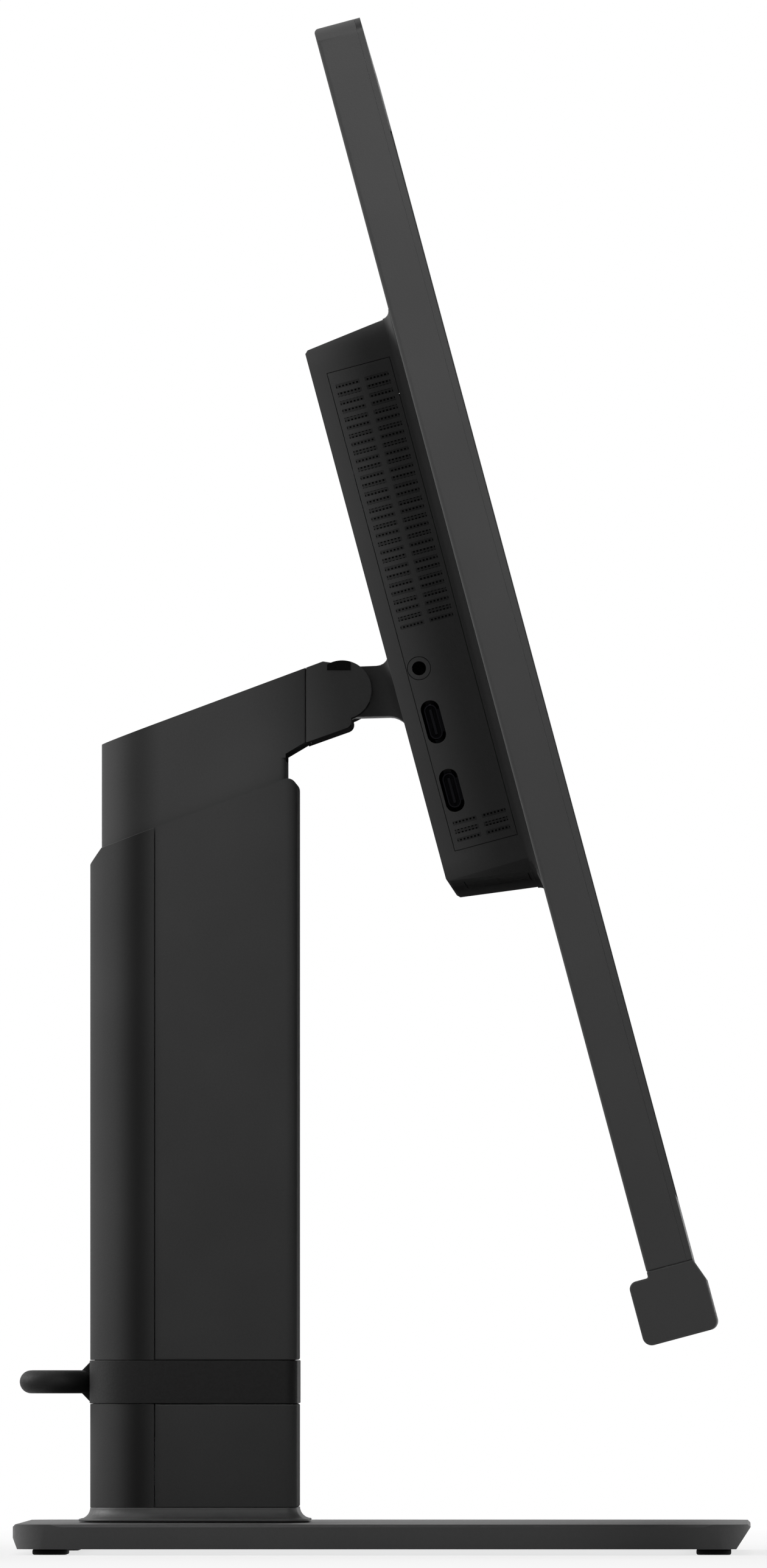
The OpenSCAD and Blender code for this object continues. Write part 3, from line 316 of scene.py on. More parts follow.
class PC_OT_finishes(bpy.types.Operator):
    """Makes the materials, each named for what it is and how its surface was made"""

    bl_idname = "pc.finishes"
    bl_label = "Finishes"

    def execute(self, context):
        c = context.scene.pc_colours
        s = context.scene.pc_sizes
        # Spark eroded mould texture makes ABS dull. It is about 0.2 mm across, drawn at 0.5 mm to show
        grained("panel_moulded_abs", c.panel, grain_mm=0.5, depth_mm=0.05, rough=0.62, gloss=0.2,
                wear_and_highlight=1.25)
        grained("box_moulded_abs", c.box, grain_mm=0.5, depth_mm=0.05, rough=0.7, gloss=0.15, wear_and_highlight=1.2)
        # The underside has a coarser texture that takes the sheen off
        grained("under_textured_abs", c.box, grain_mm=0.8, depth_mm=0.12, rough=0.9, gloss=0.0,
                wear_and_highlight=1.0)
        # Painted shade: a soft dark band down the side by the rear corners, where the shadow between
        # the front and rear light falls, painted into the lacquer's colour
        seam = min(v.co.y for v in frame["nodes"]["column_rear_cover"].data.vertices)
        band = (c.corner_shade, seam + s.shade_band_in, s.shade_band_half)
        column_shade_share = 0.68
        carriage_shade_share = 0.4
        grained("column_sprayed_lacquer", c.stand, grain_mm=0.5, depth_mm=0.04, rough=0.66, gloss=0.05,
                wear_and_highlight=1.2, painted_shade_band=(*band, column_shade_share))
        grained("carriage_sprayed_lacquer", c.carriage, grain_mm=0.5, depth_mm=0.04, rough=0.66,
                gloss=0.05, wear_and_highlight=1.2, painted_shade_band=(*band, carriage_shade_share))
        # A finer mould texture leaves black ABS with a satin sheen, and its edges paler: part wear,
        # part painted highlight
        grained("bezel_moulded_abs", c.bezel, grain_mm=0.4, depth_mm=0.03, rough=0.45, gloss=0.3,
                wear_and_highlight=1.5)
        # Powder coat flows into a shallow orange peel as it is baked
        grained("base_powder_coat", c.base, grain_mm=1.1, depth_mm=0.05, rough=0.5, gloss=0.25,
                wear_and_highlight=1.3)
        # Paint keeps the sandy skin of a die casting in sight
        grained("arm_painted_casting", c.casting, grain_mm=0.8, depth_mm=0.05, rough=0.6, gloss=0.2,
                wear_and_highlight=1.3)
        # Spray doesn't reach the arm's underside well, so it stays rough and without sheen; its darker
        # grey is painted shade on faces that look down
        grained("under_dry_paint", c.stand, grain_mm=0.8, depth_mm=0.12, rough=0.9, gloss=0.0,
                wear_and_highlight=1.0)
        # Painted light: the stand head's paint is lighter than the arm's, to make up for the shade it
        # sits in
        grained("neck_painted_casting", c.neck, grain_mm=0.8, depth_mm=0.05, rough=0.6, gloss=0.2,
                wear_and_highlight=1.3)
        # Nylon has a waxy, cloudy black, and rubber a dull one with a fine pebble
        grained("clip_moulded_nylon", c.strap, grain_mm=0.6, depth_mm=0.04, rough=0.6, gloss=0.2,
                wear_and_highlight=1.4)
        grained("pad_pressed_rubber", c.rubber, grain_mm=0.35, depth_mm=0.08, rough=0.8, gloss=0.12,
                wear_and_highlight=1.2)
        # Woven thread and felt scatter the light, so that the vents look soft and deep
        grained("mesh_woven_nylon", c.dust_mesh, grain_mm=0.3, depth_mm=0.03, rough=0.7, gloss=0.15,
                wear_and_highlight=1.0)
        grained("filter_pressed_felt", c.strap, grain_mm=0.3, depth_mm=0.1, rough=0.9, gloss=0.08,
                wear_and_highlight=1.0)
        # Filled epoxy is black and faintly speckled
        grained("chip_moulded_epoxy", c.bezel, grain_mm=0.25, depth_mm=0.02, rough=0.6, gloss=0.3,
                wear_and_highlight=1.2)
        # Rolling leaves fine lines under bright zinc; the sockets' plating is smoother and clearer
        drawn_metal("zinc_plated_steel", c.steel, line_mm=0.25, depth_mm=0.01, rough=0.38)
        drawn_metal("nickel_plated_shell", c.steel, line_mm=0.2, depth_mm=0.005, rough=0.25)
        drawn_metal("black_nickel_shell", c.nickel, line_mm=0.2, depth_mm=0.005, rough=0.35)
        drawn_metal("gold_plated_contact", c.gold, line_mm=0.2, depth_mm=0.004, rough=0.25)
        # Drawn copper has its lines along the heat pipe and browns a little
        drawn_metal("drawn_copper", c.copper, line_mm=0.3, depth_mm=0.01, rough=0.35,
                    along=(0.06, 1.0, 1.0))
        solder_mask("solder_mask_board", c.board)
        screen_film("anti_glare_screen", c.screen)
        lens_glass("coated_glass", c.screen, c.bloom)
        return {"FINISHED"}


def rounded(bm, edges, radius, segments, clamp=True):
    """Rounds edges that stick out and fills others; clamp keeps roundings from meeting."""
    return bmesh.ops.bevel(bm, geom=edges, offset=radius, offset_type="OFFSET", segments=segments,
                           profile=0.5, affect="EDGES", clamp_overlap=clamp, material=-1)


def softened(node, width, segments=2, pick=None, first=None):
    """A merged copy of a CAD node, its sharp edges (or those that pick takes) rounded and marked for
    lighter colour: wear and painted highlight.

    first, where given, shapes the copy before its edges are rounded.
    """
    bm = bmesh.new()
    bm.from_mesh(frame["nodes"][node].data)
    bmesh.ops.remove_doubles(bm, verts=bm.verts[:], dist=WELD)
    bmesh.ops.dissolve_limit(bm, angle_limit=FLAT, use_dissolve_boundaries=False,
                             verts=bm.verts[:], edges=bm.edges[:], delimit=set())
    if first:
        first(bm)
    # Rounded faces are marked to take a lighter colour: part wear, part painted highlight
    wear_and_highlight = bm.loops.layers.float.new("wear_and_highlight")
    sharp = [e for e in bm.edges if e.is_manifold and e.calc_face_angle(0.0) > SHARP]
    if pick:
        sharp = [e for e in sharp if pick(e)]
    for face in rounded(bm, sharp, width, segments)["faces"]:
        for loop in face.loops:
            loop[wear_and_highlight] = 1.0
    return bm


def finish_piece(bm, name, body, material, stands_for=()):
    """Turns a bmesh into a piece that rides on a body, smooth over its rounded edges."""
    mesh = bpy.data.meshes.new(name)
    bm.to_mesh(mesh)
    bm.free()
    for finish in [material] if isinstance(material, str) else material:
        mesh.materials.append(bpy.data.materials[finish])
    mesh.polygons.foreach_set("use_smooth", [True] * len(mesh.polygons))
    mesh.set_sharp_from_angle(angle=CREASE)
    piece = bpy.data.objects.new(name, mesh)
    bpy.context.scene.collection.objects.link(piece)
    flats = piece.modifiers.new("flat_faces", "WEIGHTED_NORMAL")
    flats.keep_sharp = True
    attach(piece, body)
    if stands_for:
        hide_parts(*stands_for)


def dress(nodes, material, width, segments=2, pick=None, under=None, first=None):
    """Softened pieces in place of CAD nodes; under is the finish of faces that look down."""
    down = head_frame.to_3x3() @ Vector((0, 0, -1))
    for node in nodes:
        body = frame["nodes"][node]["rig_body"]
        bm = softened(node, width, segments, pick, first)
        finishes = [material]
        if under:
            finishes.append(under)
            for face in bm.faces:
                face.material_index = int(face.normal.dot(down) > DOWNWARD)
        finish_piece(bm, node + "_dressed", body, finishes, (node,))


def facing(direction):
    """Takes the edges of the faces that look one way, given in the display's own frame."""
    way = head_frame.to_3x3() @ Vector(direction)
    return lambda edge: any(face.normal.dot(way) > SQUARE for face in edge.link_faces)


def roomy(least):
    """Takes the edges that meet only edges over a length, so that a rounding has room there."""
    return lambda edge: all(near.calc_length() > least
                            for vert in edge.verts for near in vert.link_edges)


def outer(edge):
    """Takes the edges that stick out."""
    return edge.is_convex


def coat(nodes, material):
    """A finish on CAD nodes that keep their own shape."""
    for node in nodes:
        slots = frame["nodes"][node].data.materials
        slots.clear()
        slots.append(bpy.data.materials[material])


def head_box(node):
    """Lowest and highest corner of a CAD node in the display's own upright frame."""
    back = head_frame.inverted()
    corners = [back @ vert.co for vert in frame["nodes"][node].data.vertices]
    return (Vector([min(c[i] for c in corners) for i in range(3)]),
            Vector([max(c[i] for c in corners) for i in range(3)]))


def edges_of(verts):
    """The edges that meet the given points, each once."""
    return list(dict.fromkeys(edge for vert in verts for edge in vert.link_edges))


def small_bar(bm, low, high):
    """A small bar between two corners, with its edges taken off."""
    edge_share = 0.2
    size = Vector(high) - Vector(low)
    middle = (Vector(high) + Vector(low)) / 2
    place = Matrix.Translation(middle) @ Matrix.Diagonal((*size, 1.0))
    made = bmesh.ops.create_cube(bm, size=1.0, matrix=place)
    rounded(bm, edges_of(made["verts"]), min(size) * edge_share, segments=1)


def stacked_rings(bm, rings, notch=1.0):
    """Round form from (radius, height, star) rings, closed at both ends; star rings are notched."""
    loops = []
    for radius, height, star in rings:
        made = bmesh.ops.create_circle(bm, segments=24, radius=radius * MM,
                                       matrix=Matrix.Translation((0, 0, height * MM)))
        if star:
            inner = [v for i, v in enumerate(made["verts"]) if i % 4 < 2]
            bmesh.ops.scale(bm, verts=inner, vec=(notch, notch, 1.0))
        loops.append(edges_of(made["verts"]))
    for low, high in zip(loops, loops[1:]):
        bmesh.ops.bridge_loops(bm, edges=low + high)
    for loop in (loops[0], loops[-1]):
        bmesh.ops.edgeloop_fill(bm, edges=loop)
    bmesh.ops.recalc_face_normals(bm, faces=bm.faces[:])


def mesh_sheet(sizes, name, wide, tall, place, thick):
    """A woven sheet of about the given size, with square holes, set in the display's frame."""
    bm = bmesh.new()
    across = max(2, round(wide / sizes.mesh_pitch))
    up = max(2, round(tall / sizes.mesh_pitch))
    bmesh.ops.create_grid(bm, x_segments=across, y_segments=up, size=0.5)
    bmesh.ops.scale(bm, verts=bm.verts[:], vec=(wide, tall, 1.0))
    holes = bm.faces[:]
    bmesh.ops.inset_individual(bm, faces=holes, thickness=sizes.mesh_bar / 2, depth=0.0)
    bmesh.ops.delete(bm, geom=holes, context="FACES")
    bmesh.ops.solidify(bm, geom=bm.faces[:], thickness=thick)
    bmesh.ops.transform(bm, matrix=head_frame @ place, verts=bm.verts[:])
    bmesh.ops.recalc_face_normals(bm, faces=bm.faces[:])
    finish_piece(bm, name, "head", "mesh_woven_nylon")


class PC_OT_base(bpy.types.Operator):
    """Base plate, its feet, weight and swivel"""

    bl_idname = "pc.base"
    bl_label = "Base"

    def execute(self, context):
        s = context.scene.pc_sizes
        dress(["base_plate"], "base_powder_coat", s.shell_edge)
        dress(["column_foot"], "base_powder_coat", s.foot_edge)
        dress(["base_feet"], "pad_pressed_rubber", s.shell_edge)
        coat(["swivel_washer"], "clip_moulded_nylon")
        coat(["base_weight", "swivel_pin", "swivel_nut"], "zinc_plated_steel")
        return {"FINISHED"}


class PC_OT_column(bpy.types.Operator):
    """Covers of the lower column, and the mast and spring inside them"""

    bl_idname = "pc.column"
    bl_label = "Column"

    def execute(self, context):
        s = context.scene.pc_sizes
        has_room = roomy(0.3 * MM)

        def off_seam(edge):
            return has_room(edge) and all(face.normal.y < SQUARE for face in edge.link_faces)

        # The edges of the seam stay sharp, so that the two covers meet in a fine line
        dress(["column_front_cover"], "column_sprayed_lacquer", s.shell_edge,
              pick=off_seam)
        dress(["column_rear_cover"], "column_sprayed_lacquer", s.shell_edge)
        coat(["mast_rail", "lift_spring_strip"], "zinc_plated_steel")
        return {"FINISHED"}


class PC_OT_cable_clip(bpy.types.Operator):
    """Strap and open ring for the cables"""

    bl_idname = "pc.cable_clip"
    bl_label = "Cable clip"

    def execute(self, context):
        s = context.scene.pc_sizes
        dress(["cable_clip"], "clip_moulded_nylon", s.rib_edge * 2, pick=outer)
        return {"FINISHED"}


class PC_OT_carriage(bpy.types.Operator):
    """Sliding upper column with its arm, and the tilt hinge on its end"""

    bl_idname = "pc.carriage"
    bl_label = "Carriage and arm"

    def execute(self, context):
        s = context.scene.pc_sizes
        # Faces that look down, here and on the arm and cheeks, take a darker sheenless paint: painted
        # shade
        dress(["lift_carriage"], "carriage_sprayed_lacquer", s.carriage_edge, 3,
              pick=roomy(2.5 * MM), under="under_dry_paint")
        # Lower corner of the arm's end, ahead of the tilt axis and below it
        end_ahead = 3.0 * MM
        end_below = 9.3 * MM
        corner = hinge_at - Vector((0, end_ahead, end_below))

        def round_end(bm):
            ends = [e for e in bm.edges if all((v.co - corner).yz.length < TOUCH for v in e.verts)]
            rounded(bm, ends, s.cheek_corner, segments=6, clamp=False)

        dress(["tilt_arm"], "arm_painted_casting", s.shell_edge,
              under="under_dry_paint", first=round_end)
        dress(["hinge_caps"], "arm_painted_casting", s.shell_edge, 3,
              under="under_dry_paint", first=round_end)
        self.stand_head(s)
        coat(["carriage_slide"], "clip_moulded_nylon")
        coat(["lift_spring_coil", "spring_axle", "tilt_shaft", "tilt_washers", "tilt_nuts"],
             "zinc_plated_steel")
        return {"FINISHED"}

    @staticmethod
    def stand_head(sizes):
        """Plate and knuckle that carry the display, with a fillet round the root of the knuckle."""
        back = head_frame.inverted()
        button_sunk = 0.2 * MM
        plate_face = head_box("release_button")[1].y + button_sunk
        # The root lies within this reach of the tilt axis
        reach_x = 20 * MM
        reach_z = 15 * MM

        def at_root(vert):
            here = back @ vert.co
            return (abs(here.y - plate_face) < TOUCH and abs(here.x) < reach_x
                    and abs(here.z) < reach_z)

        def fillet(bm):
            root = [e for e in bm.edges if e.is_manifold and not e.is_convex
                    and e.calc_face_angle(0.0) > SHARP and all(map(at_root, e.verts))]
            rounded(bm, root, sizes.neck_fillet, segments=6, clamp=False)

        bm = softened("stand_head", sizes.shell_edge, pick=outer, first=fillet)
        finish_piece(bm, "stand_head_dressed", "head", "neck_painted_casting",
                     ("stand_head",))


class PC_OT_hinge_pads(bpy.types.Operator):
    """Black rubber stop pads let into the top of the two hinge cheeks"""

    bl_idname = "pc.hinge_pads"
    bl_label = "Hinge pads"

    def execute(self, context):
        low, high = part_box("hinge_caps")
        cheek_radius = 7.7 * MM
        just_inside = 0.995
        thick = 0.45 * MM
        sunk = 0.2 * MM
        soft_edge = 0.12 * MM
        # Planes that cut the pad off below, ahead of and behind the tilt axis
        cuts = [((0, 0, hinge_at.z + 5.1 * MM), (0, 0, -1)),
                ((0, hinge_at.y - 2.2 * MM, 0), (0, -1, 0)),
                ((0, hinge_at.y + 3.9 * MM, 0), (0, 1, 0))]
        turn = Matrix.Rotation(math.radians(90), 4, "Y")
        bm = bmesh.new()
        for side, cheek in ((-1, low.x), (1, high.x)):
            place = Matrix.Translation((cheek - side * sunk, hinge_at.y, hinge_at.z)) @ turn
            bmesh.ops.create_circle(bm, cap_ends=True, segments=96,
                                    radius=cheek_radius * just_inside, matrix=place)
            for point, outward in cuts:
                near = [v for v in bm.verts if v.co.x * side > 0]
                faces = list(dict.fromkeys(f for v in near for f in v.link_faces))
                bmesh.ops.bisect_plane(bm, geom=near + edges_of(near) + faces, dist=1e-7,
                                       plane_co=point, plane_no=outward, clear_outer=True)
            faces = [f for f in bm.faces if f.calc_center_median().x * side > 0]
            made = bmesh.ops.extrude_face_region(bm, geom=faces)
            moved = [v for v in made["geom"] if isinstance(v, bmesh.types.BMVert)]
            bmesh.ops.translate(bm, verts=moved, vec=(side * thick, 0, 0))
        bmesh.ops.recalc_face_normals(bm, faces=bm.faces[:])
        rim = [e for e in bm.edges if e.calc_face_angle(0.0) > CREASE]
        rounded(bm, rim, soft_edge, segments=2)
        finish_piece(bm, "hinge_stop_pads", "carriage", "pad_pressed_rubber")
        return {"FINISHED"}


class PC_OT_housing(bpy.types.Operator):
    """Display housing, bezel and screen"""

    bl_idname = "pc.housing"
    bl_label = "Display housing"

    def execute(self, context):
        s = context.scene.pc_sizes
        dress(["mid_frame"], "panel_moulded_abs", s.shell_edge)
        self.bezel(s.rib_edge * 2)
        coat(["lcd_cell"], "anti_glare_screen")
        coat(["backlight_unit", "lcd_brackets"], "zinc_plated_steel")
        return {"FINISHED"}

    @staticmethod
    def bezel(edge):
        """Black bezel whose outer rim takes the housing's grey."""
        high = head_box("front_bezel")[1]
        back = head_frame.inverted()
        rim = 0.2 * MM
        bm = softened("front_bezel", edge)
        for face in bm.faces:
            at = back @ face.calc_center_median()
            if max(abs(at.x) - high.x, at.z - high.z) > -rim:
                face.material_index = 1
        finish_piece(bm, "front_bezel_dressed", "head",
                     ("bezel_moulded_abs", "panel_moulded_abs"), ("front_bezel",))


class PC_OT_speaker_bar(bpy.types.Operator):
    """Speaker bar with its grilles, power button and the cloth behind the grilles"""

    bl_idname = "pc.speaker_bar"
    bl_label = "Speaker bar"

    def execute(self, context):
        s = context.scene.pc_sizes
        dress(["speaker_bar"], "panel_moulded_abs", s.shell_edge)
        dress(["speaker_grilles"], "bezel_moulded_abs", s.rib_edge, 1)
        dress(["power_button"], "bezel_moulded_abs", s.rib_edge * 2)
        low, high = head_box("speaker_grilles")
        cloth_wide = 108 * MM
        cloth_high = high.z - low.z - 0.4 * MM
        cloth_thick = 0.1 * MM
        # The cloth's middle, in from the grilles' outer end, and its gap behind them
        middle_in = 55 * MM
        behind = 0.1 * MM
        upright = Matrix.Rotation(math.radians(90), 4, "X")
        for name, side in (("left_speaker_cloth", -1), ("right_speaker_cloth", 1)):
            middle = (side * (high.x - middle_in), high.y + behind, (low.z + high.z) / 2)
            mesh_sheet(s, name, cloth_wide, cloth_high, Matrix.Translation(middle) @ upright,
                       cloth_thick)
        coat(["speakers"], "chip_moulded_epoxy")
        coat(["power_switch"], "solder_mask_board")
        return {"FINISHED"}


class PC_OT_rear_box(bpy.types.Operator):
    """Box on the back with its grilles, port plate and release button"""

    bl_idname = "pc.rear_box"
    bl_label = "Rear box"

    def execute(self, context):
        s = context.scene.pc_sizes
        dress(["rear_cover"], "box_moulded_abs", s.shell_edge,
              under="under_textured_abs")
        outsides = {"left_side_grille": (-1, 0, 0), "right_side_grille": (1, 0, 0),
                    "top_grille": (0, 0, 1), "io_shield": (0, 0, -1)}
        for node, outside in outsides.items():
            dress([node], "box_moulded_abs", s.rib_edge, 1, pick=facing(outside),
                  under="under_textured_abs")
        dress(["release_button"], "bezel_moulded_abs", s.rib_edge * 2)
        low, high = head_box("release_button")
        middle = (low.z + high.z) / 2
        bm = bmesh.new()
        pitch = 1.3 * MM
        half_high = 0.3 * MM
        sunk = 0.1 * MM
        proud = 0.14 * MM
        # Each ridge by its row and half its length in millimetres
        for row, half in ((-2, 2.4), (-1, 3.3), (0, 3.6), (1, 3.3), (2, 2.4)):
            z = middle + row * pitch
            small_bar(bm, (-half * MM, high.y - sunk, z - half_high),
                      (half * MM, high.y + proud, z + half_high))
        bmesh.ops.transform(bm, matrix=head_frame, verts=bm.verts[:])
        finish_piece(bm, "release_button_ridges", "release_key", "bezel_moulded_abs")
        return {"FINISHED"}


class PC_OT_dust_mesh(bpy.types.Operator):
    """Dust mesh and filter felt in the vents of the two sides, and mesh under the top vents"""

    bl_idname = "pc.dust_mesh"
    bl_label = "Dust mesh"

    def execute(self, context):
        s = context.scene.pc_sizes
        upright = Matrix.Rotation(math.radians(90), 4, "Y")
        left = head_box("left_side_grille")
        right = head_box("right_side_grille")
        bottom, top = left[0].z, left[1].z
        vents_low = 7.2 * MM
        low_vents_high = 8.3 * MM
        rim = 0.8 * MM
        # Piece, inset face, and the lowest and highest point of the vents
        panes = [("left_dust_mesh", left[0].x + s.mesh_inset, vents_low, top - rim),
                 ("left_low_dust_mesh", left[0].x + s.mesh_inset, bottom + MM, bottom + low_vents_high),
                 ("right_dust_mesh", right[1].x - s.mesh_inset, vents_low, top - rim)]
        middle_y = (left[0].y + left[1].y) / 2
        deep = left[1].y - left[0].y - 2 * rim
        felt_behind = 0.3 * MM
        felt_thick = 0.5 * MM
        for name, x, z0, z1 in panes:
            place = Matrix.Translation((x, middle_y, (z0 + z1) / 2)) @ upright
            mesh_sheet(s, name, z1 - z0, deep, place, s.mesh_thick)
            inward = math.copysign(1.0, -x)
            near = x + inward * felt_behind
            far = near + inward * felt_thick
            felt = bmesh.new()
            small_bar(felt, (min(near, far), middle_y - deep / 2, z0),
                      (max(near, far), middle_y + deep / 2, z1))
            bmesh.ops.transform(felt, matrix=head_frame, verts=felt.verts[:])
            finish_piece(felt, name.replace("dust_mesh", "filter_felt"), "head",
                         "filter_pressed_felt")
        low, high = head_box("top_grille")
        gap = 0.15 * MM
        place = Matrix.Translation(((low.x + high.x) / 2, (low.y + high.y) / 2,
                                    low.z - gap - s.mesh_thick))
        mesh_sheet(s, "top_dust_mesh", high.x - low.x - MM, high.y - low.y - MM, place, s.mesh_thick)
        return {"FINISHED"}


class PC_OT_sockets(bpy.types.Operator):
    """Finishes of the side and rear sockets"""

    bl_idname = "pc.sockets"
    bl_label = "Sockets"

    def execute(self, context):
        s = context.scene.pc_sizes
        dress(["audio_jack"], "box_moulded_abs", s.rib_edge)
        dress(["usb_c_ports"], "black_nickel_shell", s.rib_edge / 2, 1)
        dress(["ethernet_jack", "video_port", "usb_a_ports"], "nickel_plated_shell",
              s.rib_edge, 1)
        dress(["power_inlet"], "bezel_moulded_abs", s.rib_edge)
        return {"FINISHED"}


class PC_OT_contacts(bpy.types.Operator):
    """Gold contacts on the tongues of the side and rear sockets"""

    bl_idname = "pc.contacts"
    bl_label = "Contacts"

    def execute(self, context):
        bm = bmesh.new()
        self.side_sockets(bm)
        self.rear_sockets(bm)
        bmesh.ops.transform(bm, matrix=head_frame, verts=bm.verts[:])
        finish_piece(bm, "socket_contacts", "head", "gold_plated_contact")
        return {"FINISHED"}

    @staticmethod
    def strip(bm, low, size):
        """One contact, from its low corner and its size in millimetres."""
        small_bar(bm, low, Vector(low) + Vector(size) * MM)

    def side_sockets(self, bm):
        """Twelve contacts on both faces of each side socket's tongue, 0.5 mm apart."""
        low, high = head_box("usb_c_ports")
        contact = (2.8, 0.07, 0.25)
        first = -2.875
        pitch = 0.5
        from_end = 4.5 * MM
        x = low.x + 4.4 * MM
        y = high.y - 1.65 * MM
        for z in (low.z + from_end, high.z - from_end):
            for i in range(12):
                z_low = z + (first + pitch * i) * MM
                for face in (0.27, -0.34):
                    self.strip(bm, (x, y + face * MM, z_low), contact)

    def rear_sockets(self, bm):
        """Contacts of the network, data and video sockets, which look down."""
        low, high = head_box("ethernet_jack")
        middle = (low.x + high.x) / 2
        first = -3.77
        pitch = 1.02
        for i in range(8):
            x = middle + (first + pitch * i) * MM
            self.strip(bm, (x, high.y - 2.5 * MM, low.z + 2 * MM), (0.4, 0.6, 9.0))
        low, high = head_box("usb_a_ports")
        from_end = 7 * MM
        for middle in (low.x + from_end, high.x - from_end):
            for shift in (-4.05, -1.55, 0.45, 2.95):
                self.strip(bm, (middle + shift * MM, low.y + 2.9 * MM, low.z + 2.2 * MM),
                           (1.1, 0.15, 7.0))
        low, high = head_box("video_port")
        middle = (low.x + high.x) / 2
        first = -4.75
        pitch = 1.0
        for i in range(10):
            x = middle + (first + pitch * i) * MM
            self.strip(bm, (x, low.y + 2.3 * MM, low.z + 2.4 * MM), (0.5, 0.15, 8.0))


class PC_OT_screws(bpy.types.Operator):
    """Star drive screws that hold the rear cover"""

    bl_idname = "pc.screws"
    bl_label = "Rear cover screws"

    def execute(self, context):
        low, high = head_box("rear_cover_screws")
        # Radii and heights in millimetres, from under the head
        shank_r = 1.25
        head_r = 2.7
        head_h = 1.6
        tip = head_h - (high.y - low.y) / MM
        rings = [(shank_r, tip, False), (shank_r, 0.0, False), (head_r, 0.0, False),
                 (head_r, 1.1, False), (2.3, head_h, False), (1.5, head_h, True), (1.4, 0.4, True)]
        turn = Matrix.Rotation(math.radians(-90), 4, "X")
        bm = bmesh.new()
        for x in (low.x + head_r * MM, high.x - head_r * MM):
            for z in (low.z + head_r * MM, high.z - head_r * MM):
                one = bmesh.new()
                stacked_rings(one, rings, notch=0.72)
                seat = Matrix.Translation((x, high.y - head_h * MM, z))
                bmesh.ops.transform(one, matrix=head_frame @ seat @ turn, verts=one.verts[:])
                spare = bpy.data.meshes.new("one_screw")
                one.to_mesh(spare)
                one.free()
                bm.from_mesh(spare)
                bpy.data.meshes.remove(spare)
        finish_piece(bm, "rear_cover_star_screws", "head", "zinc_plated_steel",
                     ("rear_cover_screws",))
        return {"FINISHED"}


class PC_OT_camera_eye(bpy.types.Operator):
    """Camera with its lens and shutter behind the bezel, and the two microphones beside it"""

    bl_idname = "pc.camera_eye"
    bl_label = "Camera"

    def execute(self, context):
        coat(["camera_module"], "chip_moulded_epoxy")
        dress(["camera_shutter"], "bezel_moulded_abs",
              context.scene.pc_sizes.rib_edge)
        low = head_box("camera_module")[0]
        front = head_box("front_bezel")[0].y
        height = low.z + 2.8 * MM
        lens_in = 0.5 * MM
        barrel_in = 0.45 * MM
        microphone_out = 20 * MM
        lens = [(1.5, 0.0, False), (1.5, 0.1, False), (1.35, 0.22, False), (1.0, 0.34, False),
                (0.5, 0.4, False)]
        self.round_part("camera_lens", lens, (0.0, low.y + lens_in, height), "coated_glass")
        barrel = [(1.55, 0.0, False), (1.55, 0.3, False), (1.42, 0.3, False), (1.42, 0.06, False)]
        self.round_part("camera_barrel", barrel, (0.0, low.y + barrel_in, height),
                        "bezel_moulded_abs")
        # A ring let into the bezel round a sound hole
        microphone = [(0.9, -0.5, False), (0.9, 0.0, False), (0.8, 0.04, False), (0.45, 0.04, False),
                      (0.4, -0.35, False)]
        for name, side in (("left_microphone", -1), ("right_microphone", 1)):
            self.round_part(name, microphone, (side * microphone_out, front, height),
                            "pad_pressed_rubber")
        return {"FINISHED"}

    @staticmethod
    def round_part(name, rings, place, material):
        """A small turned part that looks out of the display's front."""
        bm = bmesh.new()
        stacked_rings(bm, rings)
        turn = Matrix.Rotation(math.radians(90), 4, "X")
        bmesh.ops.transform(bm, matrix=head_frame @ Matrix.Translation(place) @ turn,
                            verts=bm.verts[:])
        finish_piece(bm, name, "head", material)


class PC_OT_inside(bpy.types.Operator):
    """Finishes of the boards and the cooling inside the box"""

    bl_idname = "pc.inside"
    bl_label = "Inside of the box"

    def execute(self, context):
        coat(["motherboard", "memory_modules", "wifi_card", "side_io_board"], "solder_mask_board")
        coat(["ssd_module", "fan_housing", "fan_rotor"], "chip_moulded_epoxy")
        coat(["processor", "coin_cell", "vesa_bracket"], "zinc_plated_steel")
        coat(["heatsink"], "drawn_copper")
        return {"FINISHED"}


